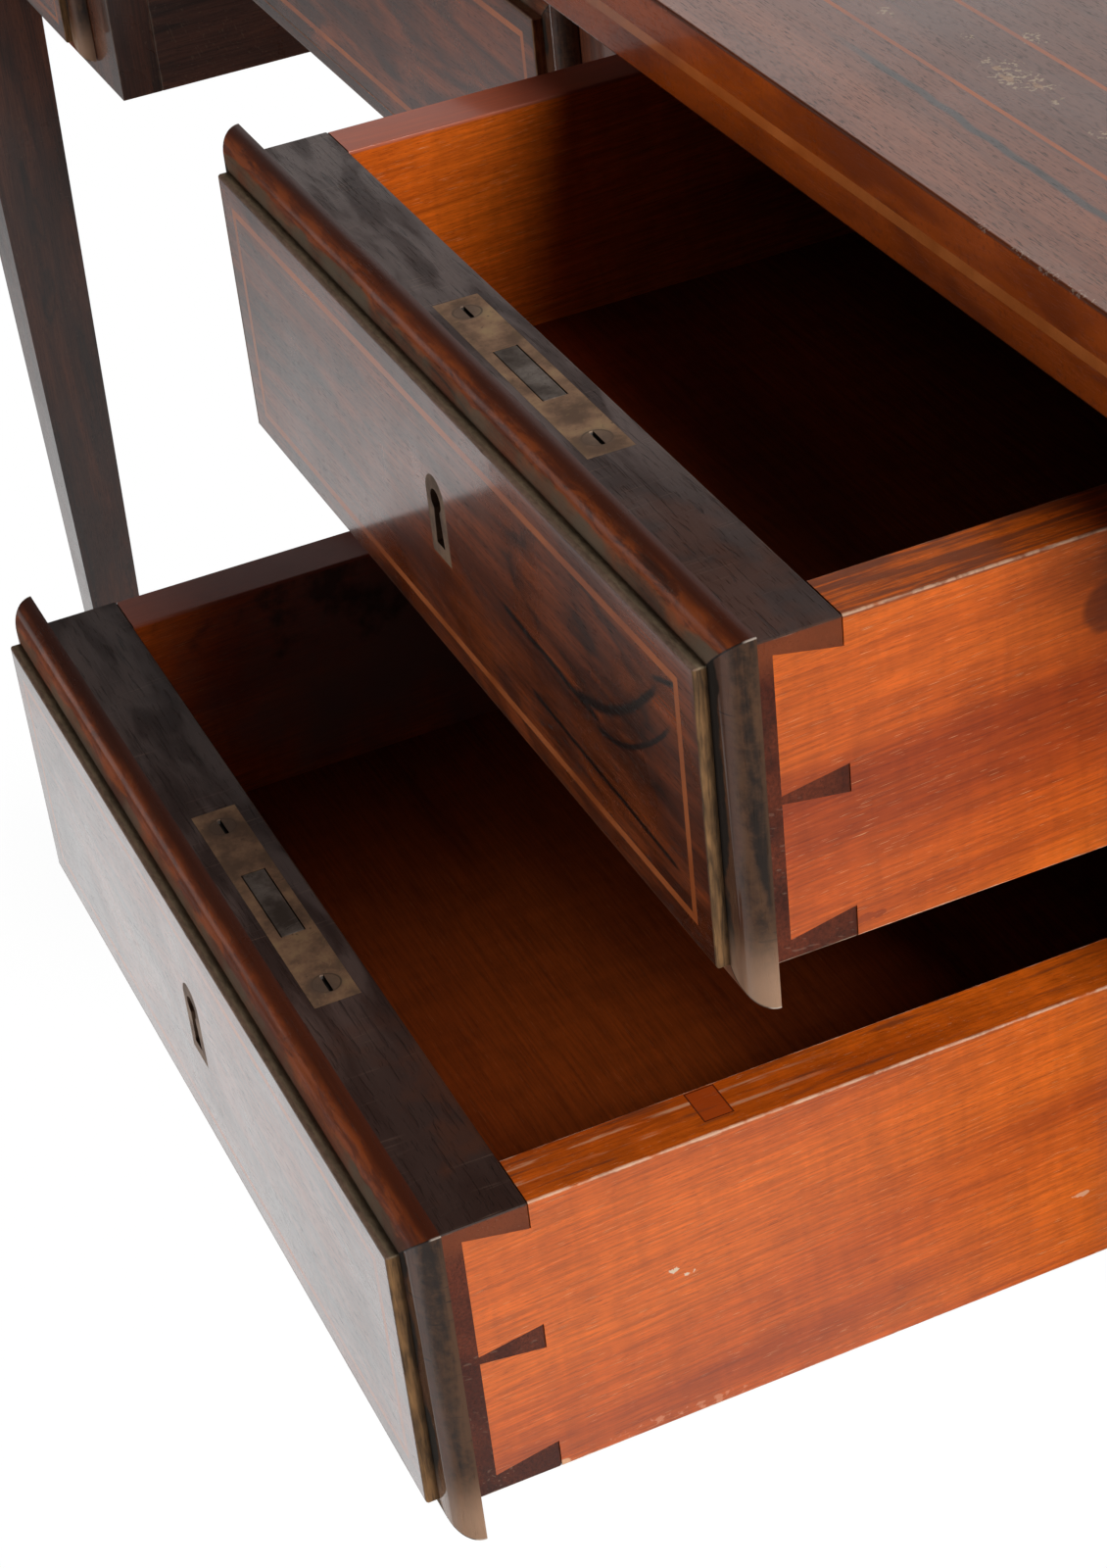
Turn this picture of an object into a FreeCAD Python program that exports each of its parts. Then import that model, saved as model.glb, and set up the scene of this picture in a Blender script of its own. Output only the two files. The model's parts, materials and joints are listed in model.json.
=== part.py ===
import FreeCAD, Part
import math
import os

# Kneehole writing desk: a flat inlaid top on four tapered legs, two lipped drawers
# on each side of the kneehole and a wide one above it, each drawer with a lock.
# Lengths are millimetres. The floor is z = 0, the front faces -Y and +X is to the
# right of someone who stands before the desk. The origin is on the floor, under the
# middle of the desk with its two right-hand drawers standing open.

# Overall sizes
desk_height = 762.0
carcase_depth = 535.0
kneehole_width = 455.0

# Top
top_thickness = 20.5
top_front_overhang = 17.0
top_side_overhang = 12.0
top_back_overhang = 8.0

# Boxwood lines let into the top, its edge and the drawer faces
line_depth = 1.0
top_line_width = 1.1
outer_line_inset = 28.6
inner_line_inset = 50.2
edge_line_width = 2.6
edge_line_drop = 9.5
face_line_width = 1.9
face_line_side_inset = 6.8
face_line_end_inset = 5.4

# Legs, each one square post that tapers on all four faces below the carcase
leg_width = 41.0
leg_foot_width = 19.0

# Panels and stiles
end_panel_thickness = 16.0
end_panel_setback = 2.0
kneehole_panel_thickness = 16.0
back_board_thickness = 12.0
stile_width = 34.5
stile_depth = 16.0

# Rails that part the drawers
rail_depth = 45.0
top_rail_height = 12.0
mid_rail_height = 32.2
bottom_rail_height = 11.0
centre_rail_height = 13.0

# Strips that the drawers run on, under and between
runner_ledge = 18.0
guide_height = 28.0

# Drawer boxes
drawer_width = 246.5
drawer_height = 69.0
drawer_side_gap = 0.75
drawer_top_gap = 1.0
drawer_runner_gap = 0.3
drawer_lip_gap = 0.3
drawer_back_space = 43.0
side_thickness = 13.4
front_thickness = 19.0
front_lap = 5.4
back_thickness = 10.0
back_drop = 5.0
bottom_thickness = 5.5
bottom_lift = 8.0
bottom_groove = 6.0

# Dovetail pins, which are needle-narrow at the tails' ends and wide at their roots
top_pin_end = 3.5
top_pin_root = 6.3
mid_pin_end = 1.8
mid_pin_root = 6.1
bottom_pin_end = 4.5
bottom_pin_root = 7.1
mid_pin_height = 35.3

# Drawer faces: a raised panel inside a mitred quarter-round lip
lip_thickness = 6.2
lip_width = 7.4
panel_rise = 2.65
panel_side_margin = 1.65
panel_top_margin = 2.3
panel_bottom_margin = 2.5

# Locks
lock_offset = 11.5
lock_plate_length = 76.2
lock_plate_width = 10.1
lock_plate_thickness = 1.6
lock_plate_setback = 5.0
lock_case_length = 52.0
lock_case_thickness = 8.2
lock_case_depth = 42.0
bolt_length = 24.6
bolt_thickness = 5.1
bolt_height = 20.0
bolt_throw = 6.0
bolt_gap = 0.2
strike_margin = 1.2
lock_screw_spacing = 63.0
lock_screw_head_radius = 3.0
lock_screw_head_height = 2.2
lock_screw_shank_radius = 1.4
lock_screw_length = 12.0
screw_slot_width = 0.9
screw_slot_depth = 0.8

# Keyholes and their inlaid brass plates
key_height = 32.4
keyhole_radius = 2.6
keyhole_length = 13.2
keyhole_neck = 2.4
keyhole_foot = 4.2
keyhole_case_depth = 2.0
escutcheon_width = 9.7
escutcheon_height = 19.4
escutcheon_thickness = 1.5
escutcheon_foot_drop = 9.6

# Screws that hold the top down
top_screw_length = 24.0
top_screw_shank_radius = 2.1
top_screw_head_radius = 4.0
top_screw_head_height = 2.6
top_screw_margin = 95.0

# Flat sides that stand for a screw's round
screw_sides = 12

# How far the right-hand drawers stand open
upper_right_opening = 95.5
lower_right_opening = 165.4

# How far a cutting shape runs past what it cuts
overrun = 1.0

# Heights that follow from the sizes above
top_underside = desk_height - top_thickness
opening_height = drawer_runner_gap + drawer_height + drawer_top_gap
upper_head = top_underside - top_rail_height
upper_sill = upper_head - opening_height
lower_head = upper_sill - mid_rail_height
lower_sill = lower_head - opening_height
carcase_bottom = lower_sill - bottom_rail_height
centre_rail_bottom = upper_sill - centre_rail_height

# Places across the desk
opening_width = drawer_width + 2 * drawer_side_gap
kneehole_x = kneehole_width / 2
opening_inner_x = kneehole_x + stile_width
opening_outer_x = opening_inner_x + opening_width
pedestal_x = (opening_inner_x + opening_outer_x) / 2
carcase_x = opening_outer_x + leg_width
end_panel_inner_x = carcase_x - end_panel_setback - end_panel_thickness
kneehole_panel_inner_x = kneehole_x + kneehole_panel_thickness
top_x = carcase_x + top_side_overhang

# Places along the desk, so that the whole footprint is centred on the origin
face_depth = lip_thickness + panel_rise
open_reach = drawer_lip_gap + face_depth + lower_right_opening
carcase_front = (open_reach - carcase_depth - top_back_overhang) / 2
carcase_back = carcase_front + carcase_depth
rail_back = carcase_front + rail_depth
board_front = carcase_back - back_board_thickness

centre_drawer_width = kneehole_width - 2 * drawer_side_gap
drawer_length = carcase_depth - back_board_thickness - drawer_back_space
bolt_y = lock_plate_setback + lock_plate_width / 2


def point(x, y, z):
    return FreeCAD.Vector(x, y, z)


def block(x0, x1, y0, y1, z0, z1):
    return Part.makeBox(x1 - x0, y1 - y0, z1 - z0, point(x0, y0, z0))


def flat_face(corners):
    return Part.Face(Part.makePolygon(corners + corners[:1]))


def prism(corners, sweep):
    return flat_face(corners).extrude(sweep)


def flat_sided(rings):
    """A solid with flat sides from each ring of corners to the next."""
    faces = [flat_face(rings[0]), flat_face(rings[-1])]
    for ring, following_ring in zip(rings, rings[1:]):
        for index, corner in enumerate(ring):
            following = (index + 1) % len(ring)
            faces.append(flat_face([
                corner, ring[following], following_ring[following], following_ring[index],
            ]))
    return Part.Solid(Part.Shell(faces))


def mirrored(shape):
    return shape.mirror(point(0, 0, 0), point(1, 0, 0))


def both_sides(shape):
    return [shape, mirrored(shape)]


def save(name, shapes):
    solids = []
    for shape in shapes:
        solids.extend(shape.Solids)
    group = solids[0] if len(solids) == 1 else Part.makeCompound(solids)
    group.exportStep("parts/" + name + ".step")


def flat_ring(x, y0, y1, z0, z1, inset):
    """A line let into a board that lies flat, inset from the board's edge."""
    outer = block(-x + inset, x - inset, y0 + inset, y1 - inset, z0, z1)
    step = inset + top_line_width
    inner = block(-x + step, x - step, y0 + step, y1 - step, z0 - overrun, z1 + overrun)
    return outer.cut(inner)


def screw_ring(x, y, z, radius):
    corners = []
    for index in range(screw_sides):
        angle = 2 * math.pi * index / screw_sides
        corners.append(point(x + radius * math.cos(angle), y + radius * math.sin(angle), z))
    return corners


def screw(x, y, z, way, length, shank_radius, head_radius, head_height):
    """A countersunk screw with its head at x, y, z, whose way is 1 upwards or -1 downwards."""
    return flat_sided([
        screw_ring(x, y, z, head_radius),
        screw_ring(x, y, z + way * head_height, shank_radius),
        screw_ring(x, y, z + way * length, shank_radius),
    ])


def top_lines():
    front = carcase_front - top_front_overhang
    back = carcase_back + top_back_overhang
    surface = desk_height - line_depth
    outer = flat_ring(top_x, front, back, surface, desk_height, outer_line_inset)
    inner = flat_ring(top_x, front, back, surface, desk_height, inner_line_inset)
    line_top = desk_height - edge_line_drop
    line_foot = line_top - edge_line_width
    edge = block(-top_x, top_x, front, back, line_foot, line_top)
    core = block(
        -top_x + line_depth, top_x - line_depth,
        front + line_depth, back - line_depth,
        line_foot - overrun, line_top + overrun,
    )
    return [outer, inner, edge.cut(core)]


def top_board(lines, screws):
    front = carcase_front - top_front_overhang
    back = carcase_back + top_back_overhang
    board = block(-top_x, top_x, front, back, top_underside, desk_height)
    return board.cut(lines + screws)


def square(x, y, z, width):
    half = width / 2
    return [
        point(x - half, y - half, z),
        point(x + half, y - half, z),
        point(x + half, y + half, z),
        point(x - half, y + half, z),
    ]


def leg(x, y):
    return flat_sided([
        square(x, y, 0, leg_foot_width),
        square(x, y, carcase_bottom, leg_width),
        square(x, y, top_underside, leg_width),
    ])


def end_panel():
    outer = carcase_x - end_panel_setback
    return block(
        end_panel_inner_x, outer,
        carcase_front + leg_width, carcase_back - leg_width,
        carcase_bottom, top_underside,
    )


def kneehole_panel(rail):
    panel = block(
        kneehole_x, kneehole_panel_inner_x,
        carcase_front + stile_depth, board_front,
        carcase_bottom, top_underside,
    )
    return panel.cut(rail)


def stile():
    return block(
        kneehole_x, opening_inner_x,
        carcase_front, carcase_front + stile_depth,
        carcase_bottom, upper_head,
    )


def strike(centre_x, head):
    """The mortise in a rail that a drawer's bolt rises into."""
    half_length = bolt_length / 2 + strike_margin
    half_width = bolt_thickness / 2 + strike_margin
    x = centre_x + lock_offset
    y = carcase_front - drawer_lip_gap + bolt_y
    return block(
        x - half_length, x + half_length,
        y - half_width, y + half_width,
        head - overrun, head + bolt_throw + strike_margin,
    )


def front_rail(x0, x1, z0, z1, drawer_centres):
    rail = block(x0, x1, carcase_front, rail_back, z0, z1)
    mortises = [strike(centre, z0) for centre in drawer_centres]
    return rail.cut(mortises) if mortises else rail


def pedestal_strips(z0, z1, reach_in):
    """Long strips at both sides of the pedestals' openings, glued to the panels beside them."""
    inner = block(
        kneehole_panel_inner_x, opening_inner_x + reach_in,
        rail_back, board_front, z0, z1,
    )
    outer = block(
        opening_outer_x - reach_in, end_panel_inner_x,
        rail_back, carcase_back - leg_width, z0, z1,
    )
    return both_sides(inner) + both_sides(outer)


def centre_strips(z0, z1):
    """The same for the centre drawer, on the panels' kneehole faces."""
    strip = block(kneehole_x - runner_ledge, kneehole_x, rail_back, board_front, z0, z1)
    return both_sides(strip)


def top_screws():
    shapes = []
    first_y = rail_back + top_screw_margin
    last_y = carcase_back - leg_width - top_screw_margin
    inner_x = (kneehole_panel_inner_x + opening_inner_x + runner_ledge) / 2
    outer_x = (opening_outer_x - runner_ledge + end_panel_inner_x) / 2
    for x in (-outer_x, -inner_x, inner_x, outer_x):
        for y in (first_y, last_y):
            shapes.append(screw(
                x, y, upper_head, 1, top_screw_length,
                top_screw_shank_radius, top_screw_head_radius, top_screw_head_height,
            ))
    return shapes


def build_carcase():
    lines = top_lines()
    screws = top_screws()
    save("top_board", [top_board(lines, screws)])
    save("top_stringing", lines)
    save("top_screws", screws)

    leg_x = carcase_x - leg_width / 2
    front_leg_y = carcase_front + leg_width / 2
    back_leg_y = carcase_back - leg_width / 2
    save("leg_front_left", [leg(-leg_x, front_leg_y)])
    save("leg_front_right", [leg(leg_x, front_leg_y)])
    save("leg_back_left", [leg(-leg_x, back_leg_y)])
    save("leg_back_right", [leg(leg_x, back_leg_y)])

    drawer_centres = (-pedestal_x, 0, pedestal_x)
    rail = front_rail(-opening_outer_x, opening_outer_x, upper_head, top_underside, drawer_centres)
    save("top_rail", [rail])
    rail_space = block(
        -opening_outer_x, opening_outer_x, carcase_front, rail_back, upper_head, top_underside,
    )
    save("end_panel_left", [mirrored(end_panel())])
    save("end_panel_right", [end_panel()])
    save("kneehole_panel_left", [mirrored(kneehole_panel(rail_space))])
    save("kneehole_panel_right", [kneehole_panel(rail_space)])
    save("kneehole_stiles", both_sides(stile()))

    save("mid_rails", [
        front_rail(-opening_outer_x, -opening_inner_x, lower_head, upper_sill, [-pedestal_x]),
        front_rail(opening_inner_x, opening_outer_x, lower_head, upper_sill, [pedestal_x]),
    ])
    bottom_rail = front_rail(opening_inner_x, opening_outer_x, carcase_bottom, lower_sill, [])
    save("bottom_rails", both_sides(bottom_rail))
    save("centre_rail", [front_rail(-kneehole_x, kneehole_x, centre_rail_bottom, upper_sill, [])])

    back = block(kneehole_x, opening_outer_x, board_front, carcase_back, carcase_bottom, top_underside)
    save("pedestal_back_boards", both_sides(back))
    save("centre_back_board", [
        block(-kneehole_x, kneehole_x, board_front, carcase_back, centre_rail_bottom, top_underside),
    ])

    runners = pedestal_strips(carcase_bottom, lower_sill, runner_ledge)
    runners += pedestal_strips(lower_head, upper_sill, runner_ledge)
    runners += centre_strips(centre_rail_bottom, upper_sill)
    save("drawer_runners", runners)
    kickers = pedestal_strips(upper_head, top_underside, runner_ledge)
    kickers += centre_strips(upper_head, top_underside)
    save("drawer_kickers", [kicker.cut(screws) for kicker in kickers])
    guides = pedestal_strips(lower_sill, lower_sill + guide_height, 0)
    guides += pedestal_strips(upper_sill, upper_sill + guide_height, 0)
    save("drawer_guides", guides)


def pin(x0, x1, y_end, y_root, end_low, end_high, root_low, root_high):
    corners = [
        point(x0, y_end, end_low),
        point(x0, y_root, root_low),
        point(x0, y_root, root_high),
        point(x0, y_end, end_high),
    ]
    return prism(corners, point(x1 - x0, 0, 0))


def pin_row(x0, x1, y_end, y_root, foot, head):
    """The pins between a foot and a head level: a half pin at each and one between."""
    middle = mid_pin_height
    return [
        pin(x0, x1, y_end, y_root, foot, foot + bottom_pin_end, foot, foot + bottom_pin_root),
        pin(
            x0, x1, y_end, y_root,
            middle - mid_pin_end / 2, middle + mid_pin_end / 2,
            middle - mid_pin_root / 2, middle + mid_pin_root / 2,
        ),
        pin(x0, x1, y_end, y_root, head - top_pin_end, head, head - top_pin_root, head),
    ]


def drawer_side(half_width, bottom):
    """A drawer's right side, with tails at both ends and a groove for the bottom."""
    x0 = half_width - side_thickness
    board = block(x0, half_width, front_lap, drawer_length, 0, drawer_height)
    front_pins = pin_row(x0, half_width, front_lap, front_thickness, 0, drawer_height)
    back_pins = pin_row(
        x0, half_width, drawer_length, drawer_length - back_thickness,
        bottom_lift + bottom_thickness, drawer_height - back_drop,
    )
    return board.cut(front_pins + back_pins + [bottom])


def keyhole(y0, y1):
    """A keyhole's shape, round above and flared below, cut from y0 to y1."""
    z = drawer_height - key_height
    round_z = z + keyhole_length / 2 - keyhole_radius
    foot_z = z - keyhole_length / 2
    barrel = Part.makeCylinder(keyhole_radius, y1 - y0, point(0, y0, round_z), point(0, 1, 0))
    skirt = prism([
        point(-keyhole_foot / 2, y0, foot_z),
        point(keyhole_foot / 2, y0, foot_z),
        point(keyhole_neck / 2, y0, round_z),
        point(-keyhole_neck / 2, y0, round_z),
    ], point(0, y1 - y0, 0))
    return barrel.fuse(skirt)


def escutcheon_plate():
    """The arched brass plate, let in flush with the raised panel."""
    half = escutcheon_width / 2
    foot = drawer_height - key_height - escutcheon_foot_drop
    spring = foot + escutcheon_height - half
    y0 = -face_depth
    body = block(-half, half, y0, y0 + escutcheon_thickness, foot, spring)
    arch = Part.makeCylinder(half, escutcheon_thickness, point(0, y0, spring), point(0, 1, 0))
    return body.fuse(arch).removeSplitter()


def face_line(x, z0, z1):
    side = x - face_line_side_inset
    low = z0 + face_line_end_inset
    high = z1 - face_line_end_inset
    front = -face_depth
    outer = block(-side, side, front, front + line_depth, low, high)
    inner = block(
        -side + face_line_width, side - face_line_width,
        front - overrun, front + line_depth + overrun,
        low + face_line_width, high - face_line_width,
    )
    return outer.cut(inner)


def lip_profile(start, outward):
    """The lip's section: a fillet beside the panel and a quarter round out to its edge."""
    forward = point(0, -1, 0)
    fillet = lip_width - lip_thickness
    centre = start + outward * fillet
    back_edge = centre + outward * lip_thickness
    front_edge = centre + forward * lip_thickness
    slant = outward + forward
    slant.normalize()
    edges = [
        Part.LineSegment(start, back_edge).toShape(),
        Part.Arc(back_edge, centre + slant * lip_thickness, front_edge).toShape(),
        Part.LineSegment(front_edge, start + forward * lip_thickness).toShape(),
        Part.LineSegment(start + forward * lip_thickness, start).toShape(),
    ]
    return Part.Face(Part.Wire(edges))


def lip_strips(x, z0, z1):
    """Four strips of lip moulding, mitred together round the raised panel."""
    inner = [point(-x, 0, z0), point(x, 0, z0), point(x, 0, z1), point(-x, 0, z1)]
    outer = [
        point(-x - lip_width, 0, z0 - lip_width),
        point(x + lip_width, 0, z0 - lip_width),
        point(x + lip_width, 0, z1 + lip_width),
        point(-x - lip_width, 0, z1 + lip_width),
    ]
    outwards = [point(0, 0, -1), point(1, 0, 0), point(0, 0, 1), point(-1, 0, 0)]
    shapes = []
    for index, outward in enumerate(outwards):
        following = (index + 1) % len(outwards)
        run = inner[following] - inner[index]
        along = FreeCAD.Vector(run)
        along.normalize()
        start = inner[index] - along * lip_width
        bar = lip_profile(start, outward).extrude(run + along * (2 * lip_width))
        mitre = prism(
            [inner[index], inner[following], outer[following], outer[index]],
            point(0, -lip_thickness, 0),
        )
        shapes.append(bar.common(mitre))
    return shapes


def lock_case_space(x):
    top = drawer_height - lock_plate_thickness
    return block(
        x - lock_case_length / 2, x + lock_case_length / 2,
        bolt_y - lock_case_thickness / 2, bolt_y + lock_case_thickness / 2,
        top - lock_case_depth, top,
    )


def lock_plate_space(x):
    return block(
        x - lock_plate_length / 2, x + lock_plate_length / 2,
        lock_plate_setback, lock_plate_setback + lock_plate_width,
        drawer_height - lock_plate_thickness, drawer_height,
    )


def lock_bolt(x, gap):
    """The bolt, or with a gap the space that it slides in."""
    return block(
        x - bolt_length / 2 - gap, x + bolt_length / 2 + gap,
        bolt_y - bolt_thickness / 2 - gap, bolt_y + bolt_thickness / 2 + gap,
        drawer_height - bolt_height - gap, drawer_height + gap,
    )


def lock_screw(x):
    shape = screw(
        x, bolt_y, drawer_height, -1, lock_screw_length,
        lock_screw_shank_radius, lock_screw_head_radius, lock_screw_head_height,
    )
    slot = block(
        x - lock_screw_head_radius, x + lock_screw_head_radius,
        bolt_y - screw_slot_width / 2, bolt_y + screw_slot_width / 2,
        drawer_height - screw_slot_depth, drawer_height + overrun,
    )
    return shape, slot


def build_drawer(name, width, centre_x, sill, opening, box_in_one):
    """Build one drawer about its own middle, then carry it to its place."""
    half = width / 2
    inner_half = half - side_thickness
    place = point(
        centre_x,
        carcase_front - drawer_lip_gap - opening,
        sill + drawer_runner_gap,
    )

    bottom = block(
        -inner_half - bottom_groove, inner_half + bottom_groove,
        front_thickness - bottom_groove, drawer_length,
        bottom_lift, bottom_lift + bottom_thickness,
    )
    right_side = drawer_side(half, bottom)
    left_side = mirrored(right_side)
    back = block(
        -half, half, drawer_length - back_thickness, drawer_length,
        bottom_lift + bottom_thickness, drawer_height - back_drop,
    ).cut([right_side, left_side])

    plate_space = lock_plate_space(lock_offset)
    case_space = lock_case_space(lock_offset)
    key_space = keyhole(-face_depth - overrun, bolt_y - lock_case_thickness / 2 + keyhole_case_depth)
    screws = []
    slots = []
    for x in (lock_offset - lock_screw_spacing / 2, lock_offset + lock_screw_spacing / 2):
        shape, slot = lock_screw(x)
        screws.append(shape)
        slots.append(slot)
    lock = plate_space.fuse(case_space).cut([lock_bolt(lock_offset, bolt_gap), key_space] + screws)
    bolt = lock_bolt(lock_offset, 0)
    plate = escutcheon_plate()
    front = block(-half, half, 0, front_thickness, 0, drawer_height)
    front = front.cut([right_side, left_side, bottom, plate_space, case_space, key_space] + screws)
    screws = [shape.cut(slots) for shape in screws]

    panel_x = half - panel_side_margin
    panel_z0 = panel_bottom_margin
    panel_z1 = drawer_height - panel_top_margin
    line = face_line(panel_x, panel_z0, panel_z1)
    panel = block(-panel_x, panel_x, -face_depth, 0, panel_z0, panel_z1)
    panel = panel.cut([line, plate, key_space])

    pieces = {
        "front": [front],
        "moulding": lip_strips(panel_x, panel_z0, panel_z1),
        "face_panel": [panel],
        "stringing": [line],
        "lock": [lock, plate.cut(key_space)] + screws,
        "bolt": [bolt],
    }
    if box_in_one:
        pieces["box"] = [left_side, right_side, back, bottom]
    else:
        pieces["sides"] = [left_side, right_side]
        pieces["back"] = [back]
        pieces["bottom"] = [bottom]
    for piece, shapes in pieces.items():
        for shape in shapes:
            shape.translate(place)
        save(name + "_drawer_" + piece, shapes)


def build_drawers():
    build_drawer("upper_right", drawer_width, pedestal_x, upper_sill, upper_right_opening, False)
    build_drawer("lower_right", drawer_width, pedestal_x, lower_sill, lower_right_opening, False)
    build_drawer("upper_left", drawer_width, -pedestal_x, upper_sill, 0, True)
    build_drawer("lower_left", drawer_width, -pedestal_x, lower_sill, 0, True)
    build_drawer("centre", centre_drawer_width, 0, upper_sill, 0, True)


os.makedirs("parts", exist_ok=True)
build_carcase()
build_drawers()
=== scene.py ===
import json
import math

import bpy
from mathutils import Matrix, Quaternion, Vector


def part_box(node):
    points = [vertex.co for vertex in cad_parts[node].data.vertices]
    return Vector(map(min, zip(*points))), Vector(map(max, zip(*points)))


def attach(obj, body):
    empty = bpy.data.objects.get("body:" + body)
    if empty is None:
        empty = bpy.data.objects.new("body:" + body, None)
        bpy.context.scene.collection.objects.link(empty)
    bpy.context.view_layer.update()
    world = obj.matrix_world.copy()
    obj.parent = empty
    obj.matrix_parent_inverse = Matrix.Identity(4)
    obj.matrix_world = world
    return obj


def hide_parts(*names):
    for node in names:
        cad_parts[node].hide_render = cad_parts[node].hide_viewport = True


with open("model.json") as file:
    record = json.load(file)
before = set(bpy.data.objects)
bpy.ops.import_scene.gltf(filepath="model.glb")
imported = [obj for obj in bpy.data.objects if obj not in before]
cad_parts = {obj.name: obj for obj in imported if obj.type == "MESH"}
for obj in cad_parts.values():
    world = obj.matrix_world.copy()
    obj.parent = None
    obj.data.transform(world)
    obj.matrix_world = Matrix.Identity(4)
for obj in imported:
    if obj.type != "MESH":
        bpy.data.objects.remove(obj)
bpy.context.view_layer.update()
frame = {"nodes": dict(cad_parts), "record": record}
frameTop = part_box("top_board")[1].z
bodies = frame["record"]["behaviour"]["bodies"]
nodeBody = {node: body for body, nodes in bodies.items() for node in nodes}
drawerNames = ["upper_right", "lower_right", "upper_left", "lower_left", "centre"]
openDrawers = ["upper_right", "lower_right"]
print("Frame loaded:", len(frame["nodes"]), "nodes")


# Camera

cameraView = {
    "place": (0.9292, -0.4737, 1.0231),
    "azimuth": 71.05,
    "elevation": 35.29,
    "roll": -7.45,
    "lens": 74.44,
    "sensor": 36.0,
    "shift": (0.0426, 0.0311),
    "clipStart": 0.02,
}


def addCamera():
    data = bpy.data.cameras.new("camera")
    data.lens = cameraView["lens"]
    data.sensor_width = cameraView["sensor"]
    data.shift_x, data.shift_y = cameraView["shift"]
    data.clip_start = cameraView["clipStart"]
    camera = bpy.data.objects.new("camera", data)
    bpy.context.collection.objects.link(camera)
    azimuth = math.radians(cameraView["azimuth"])
    elevation = math.radians(cameraView["elevation"])
    looking = Vector((
        -math.sin(azimuth) * math.cos(elevation),
        math.cos(azimuth) * math.cos(elevation),
        -math.sin(elevation),
    ))
    camera.location = cameraView["place"]
    camera.rotation_mode = "QUATERNION"
    roll = Quaternion((0, 0, 1), math.radians(cameraView["roll"]))
    camera.rotation_quaternion = looking.to_track_quat("-Z", "Y") @ roll
    bpy.context.scene.camera = camera


addCamera()
print("Camera placed")


# Shader nodes. A wire is one output of a node, and sums of wires are written as sums

class Wire:
    def __init__(self, socket):
        self.socket = socket
        self.tree = socket.id_data

    def __add__(self, other):
        return combine("ADD", self, other)

    def __sub__(self, other):
        return combine("SUBTRACT", self, other)

    def __rsub__(self, other):
        return combine("SUBTRACT", other, self)

    def __mul__(self, other):
        return combine("MULTIPLY", self, other)

    def __truediv__(self, other):
        return combine("DIVIDE", self, other)

    def __rtruediv__(self, other):
        return combine("DIVIDE", other, self)

    def __gt__(self, other):
        return combine("GREATER_THAN", self, other)

    def __lt__(self, other):
        return combine("LESS_THAN", self, other)

    def __abs__(self):
        return combine("ABSOLUTE", self)


def feed(socket, value):
    if isinstance(value, Wire):
        value.tree.links.new(value.socket, socket)
    else:
        socket.default_value = value


def addNode(tree, kind, inputs=None, **settings):
    made = tree.nodes.new(kind)
    for key, value in settings.items():
        setattr(made, key, value)
    for key, value in (inputs or {}).items():
        feed(made.inputs[key], value)
    return made


def wired(tree, kind, inputs=None, output=0, **settings):
    return Wire(addNode(tree, kind, inputs, **settings).outputs[output])


def named(outputs):
    return {socket.name: Wire(socket) for socket in outputs}


def combine(operation, a, b=0.0):
    wires = [value for value in (a, b) if isinstance(value, Wire)]
    isVector = any(wire.socket.type == "VECTOR" for wire in wires)
    kind = "ShaderNodeVectorMath" if isVector else "ShaderNodeMath"
    return wired(wires[0].tree, kind, {0: a, 1: b}, operation=operation)


def lowest(first, *others):
    for other in others:
        first = combine("MINIMUM", first, other)
    return first


def highest(first, *others):
    for other in others:
        first = combine("MAXIMUM", first, other)
    return first


def clamped(value):
    value.socket.node.use_clamp = True
    return value


def length(vector):
    return wired(vector.tree, "ShaderNodeVectorMath", {0: vector}, "Value", operation="LENGTH")


def towards(vector, way):
    return wired(vector.tree, "ShaderNodeVectorMath", {0: vector, 1: way}, "Value", operation="DOT_PRODUCT")


def apart(vector):
    return [Wire(socket) for socket in addNode(vector.tree, "ShaderNodeSeparateXYZ", {0: vector}).outputs]


def joined(x, y=0.0, z=0.0):
    return wired(x.tree, "ShaderNodeCombineXYZ", {0: x, 1: y, 2: z})


def objectPlace(tree):
    return wired(tree, "ShaderNodeTexCoord", output="Object")


def attribute(tree, name, output="Vector"):
    return wired(tree, "ShaderNodeAttribute", output=output, attribute_name=name)


def ramp(value, low, high, lowValue=0.0, highValue=1.0):
    inputs = {0: value, 1: low, 2: high, 3: lowValue, 4: highValue}
    return wired(value.tree, "ShaderNodeMapRange", inputs, interpolation_type="SMOOTHSTEP")


def noise(place, scale, detail=4.0, swirl=0.0, roughness=0.55):
    if isinstance(scale, tuple):      # a scale for each axis
        place = place * scale
        scale = 1.0
    inputs = {"Vector": place, "Scale": scale, "Detail": detail, "Distortion": swirl, "Roughness": roughness}
    return wired(place.tree, "ShaderNodeTexNoise", inputs)


def mixColours(share, a, b, blend="MIX"):
    a, b = (value if isinstance(value, Wire) else (*value, 1.0) for value in (a, b))
    tree = next(value.tree for value in (share, a, b) if isinstance(value, Wire))
    return wired(tree, "ShaderNodeMix", {0: share, 6: a, 7: b}, 2, data_type="RGBA", blend_type=blend)


def layered(colour, *layers):
    for mask, above in layers:
        colour = mixColours(mask, colour, above)
    return colour


def newGroup(name, **given):
    tree = bpy.data.node_groups.new(name, "ShaderNodeTree")
    for label, value in given.items():
        kind = "NodeSocketVector" if isinstance(value, tuple) else "NodeSocketFloat"
        tree.interface.new_socket(label, in_out="INPUT", socket_type=kind).default_value = value
    return tree, named(addNode(tree, "NodeGroupInput").outputs)


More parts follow.
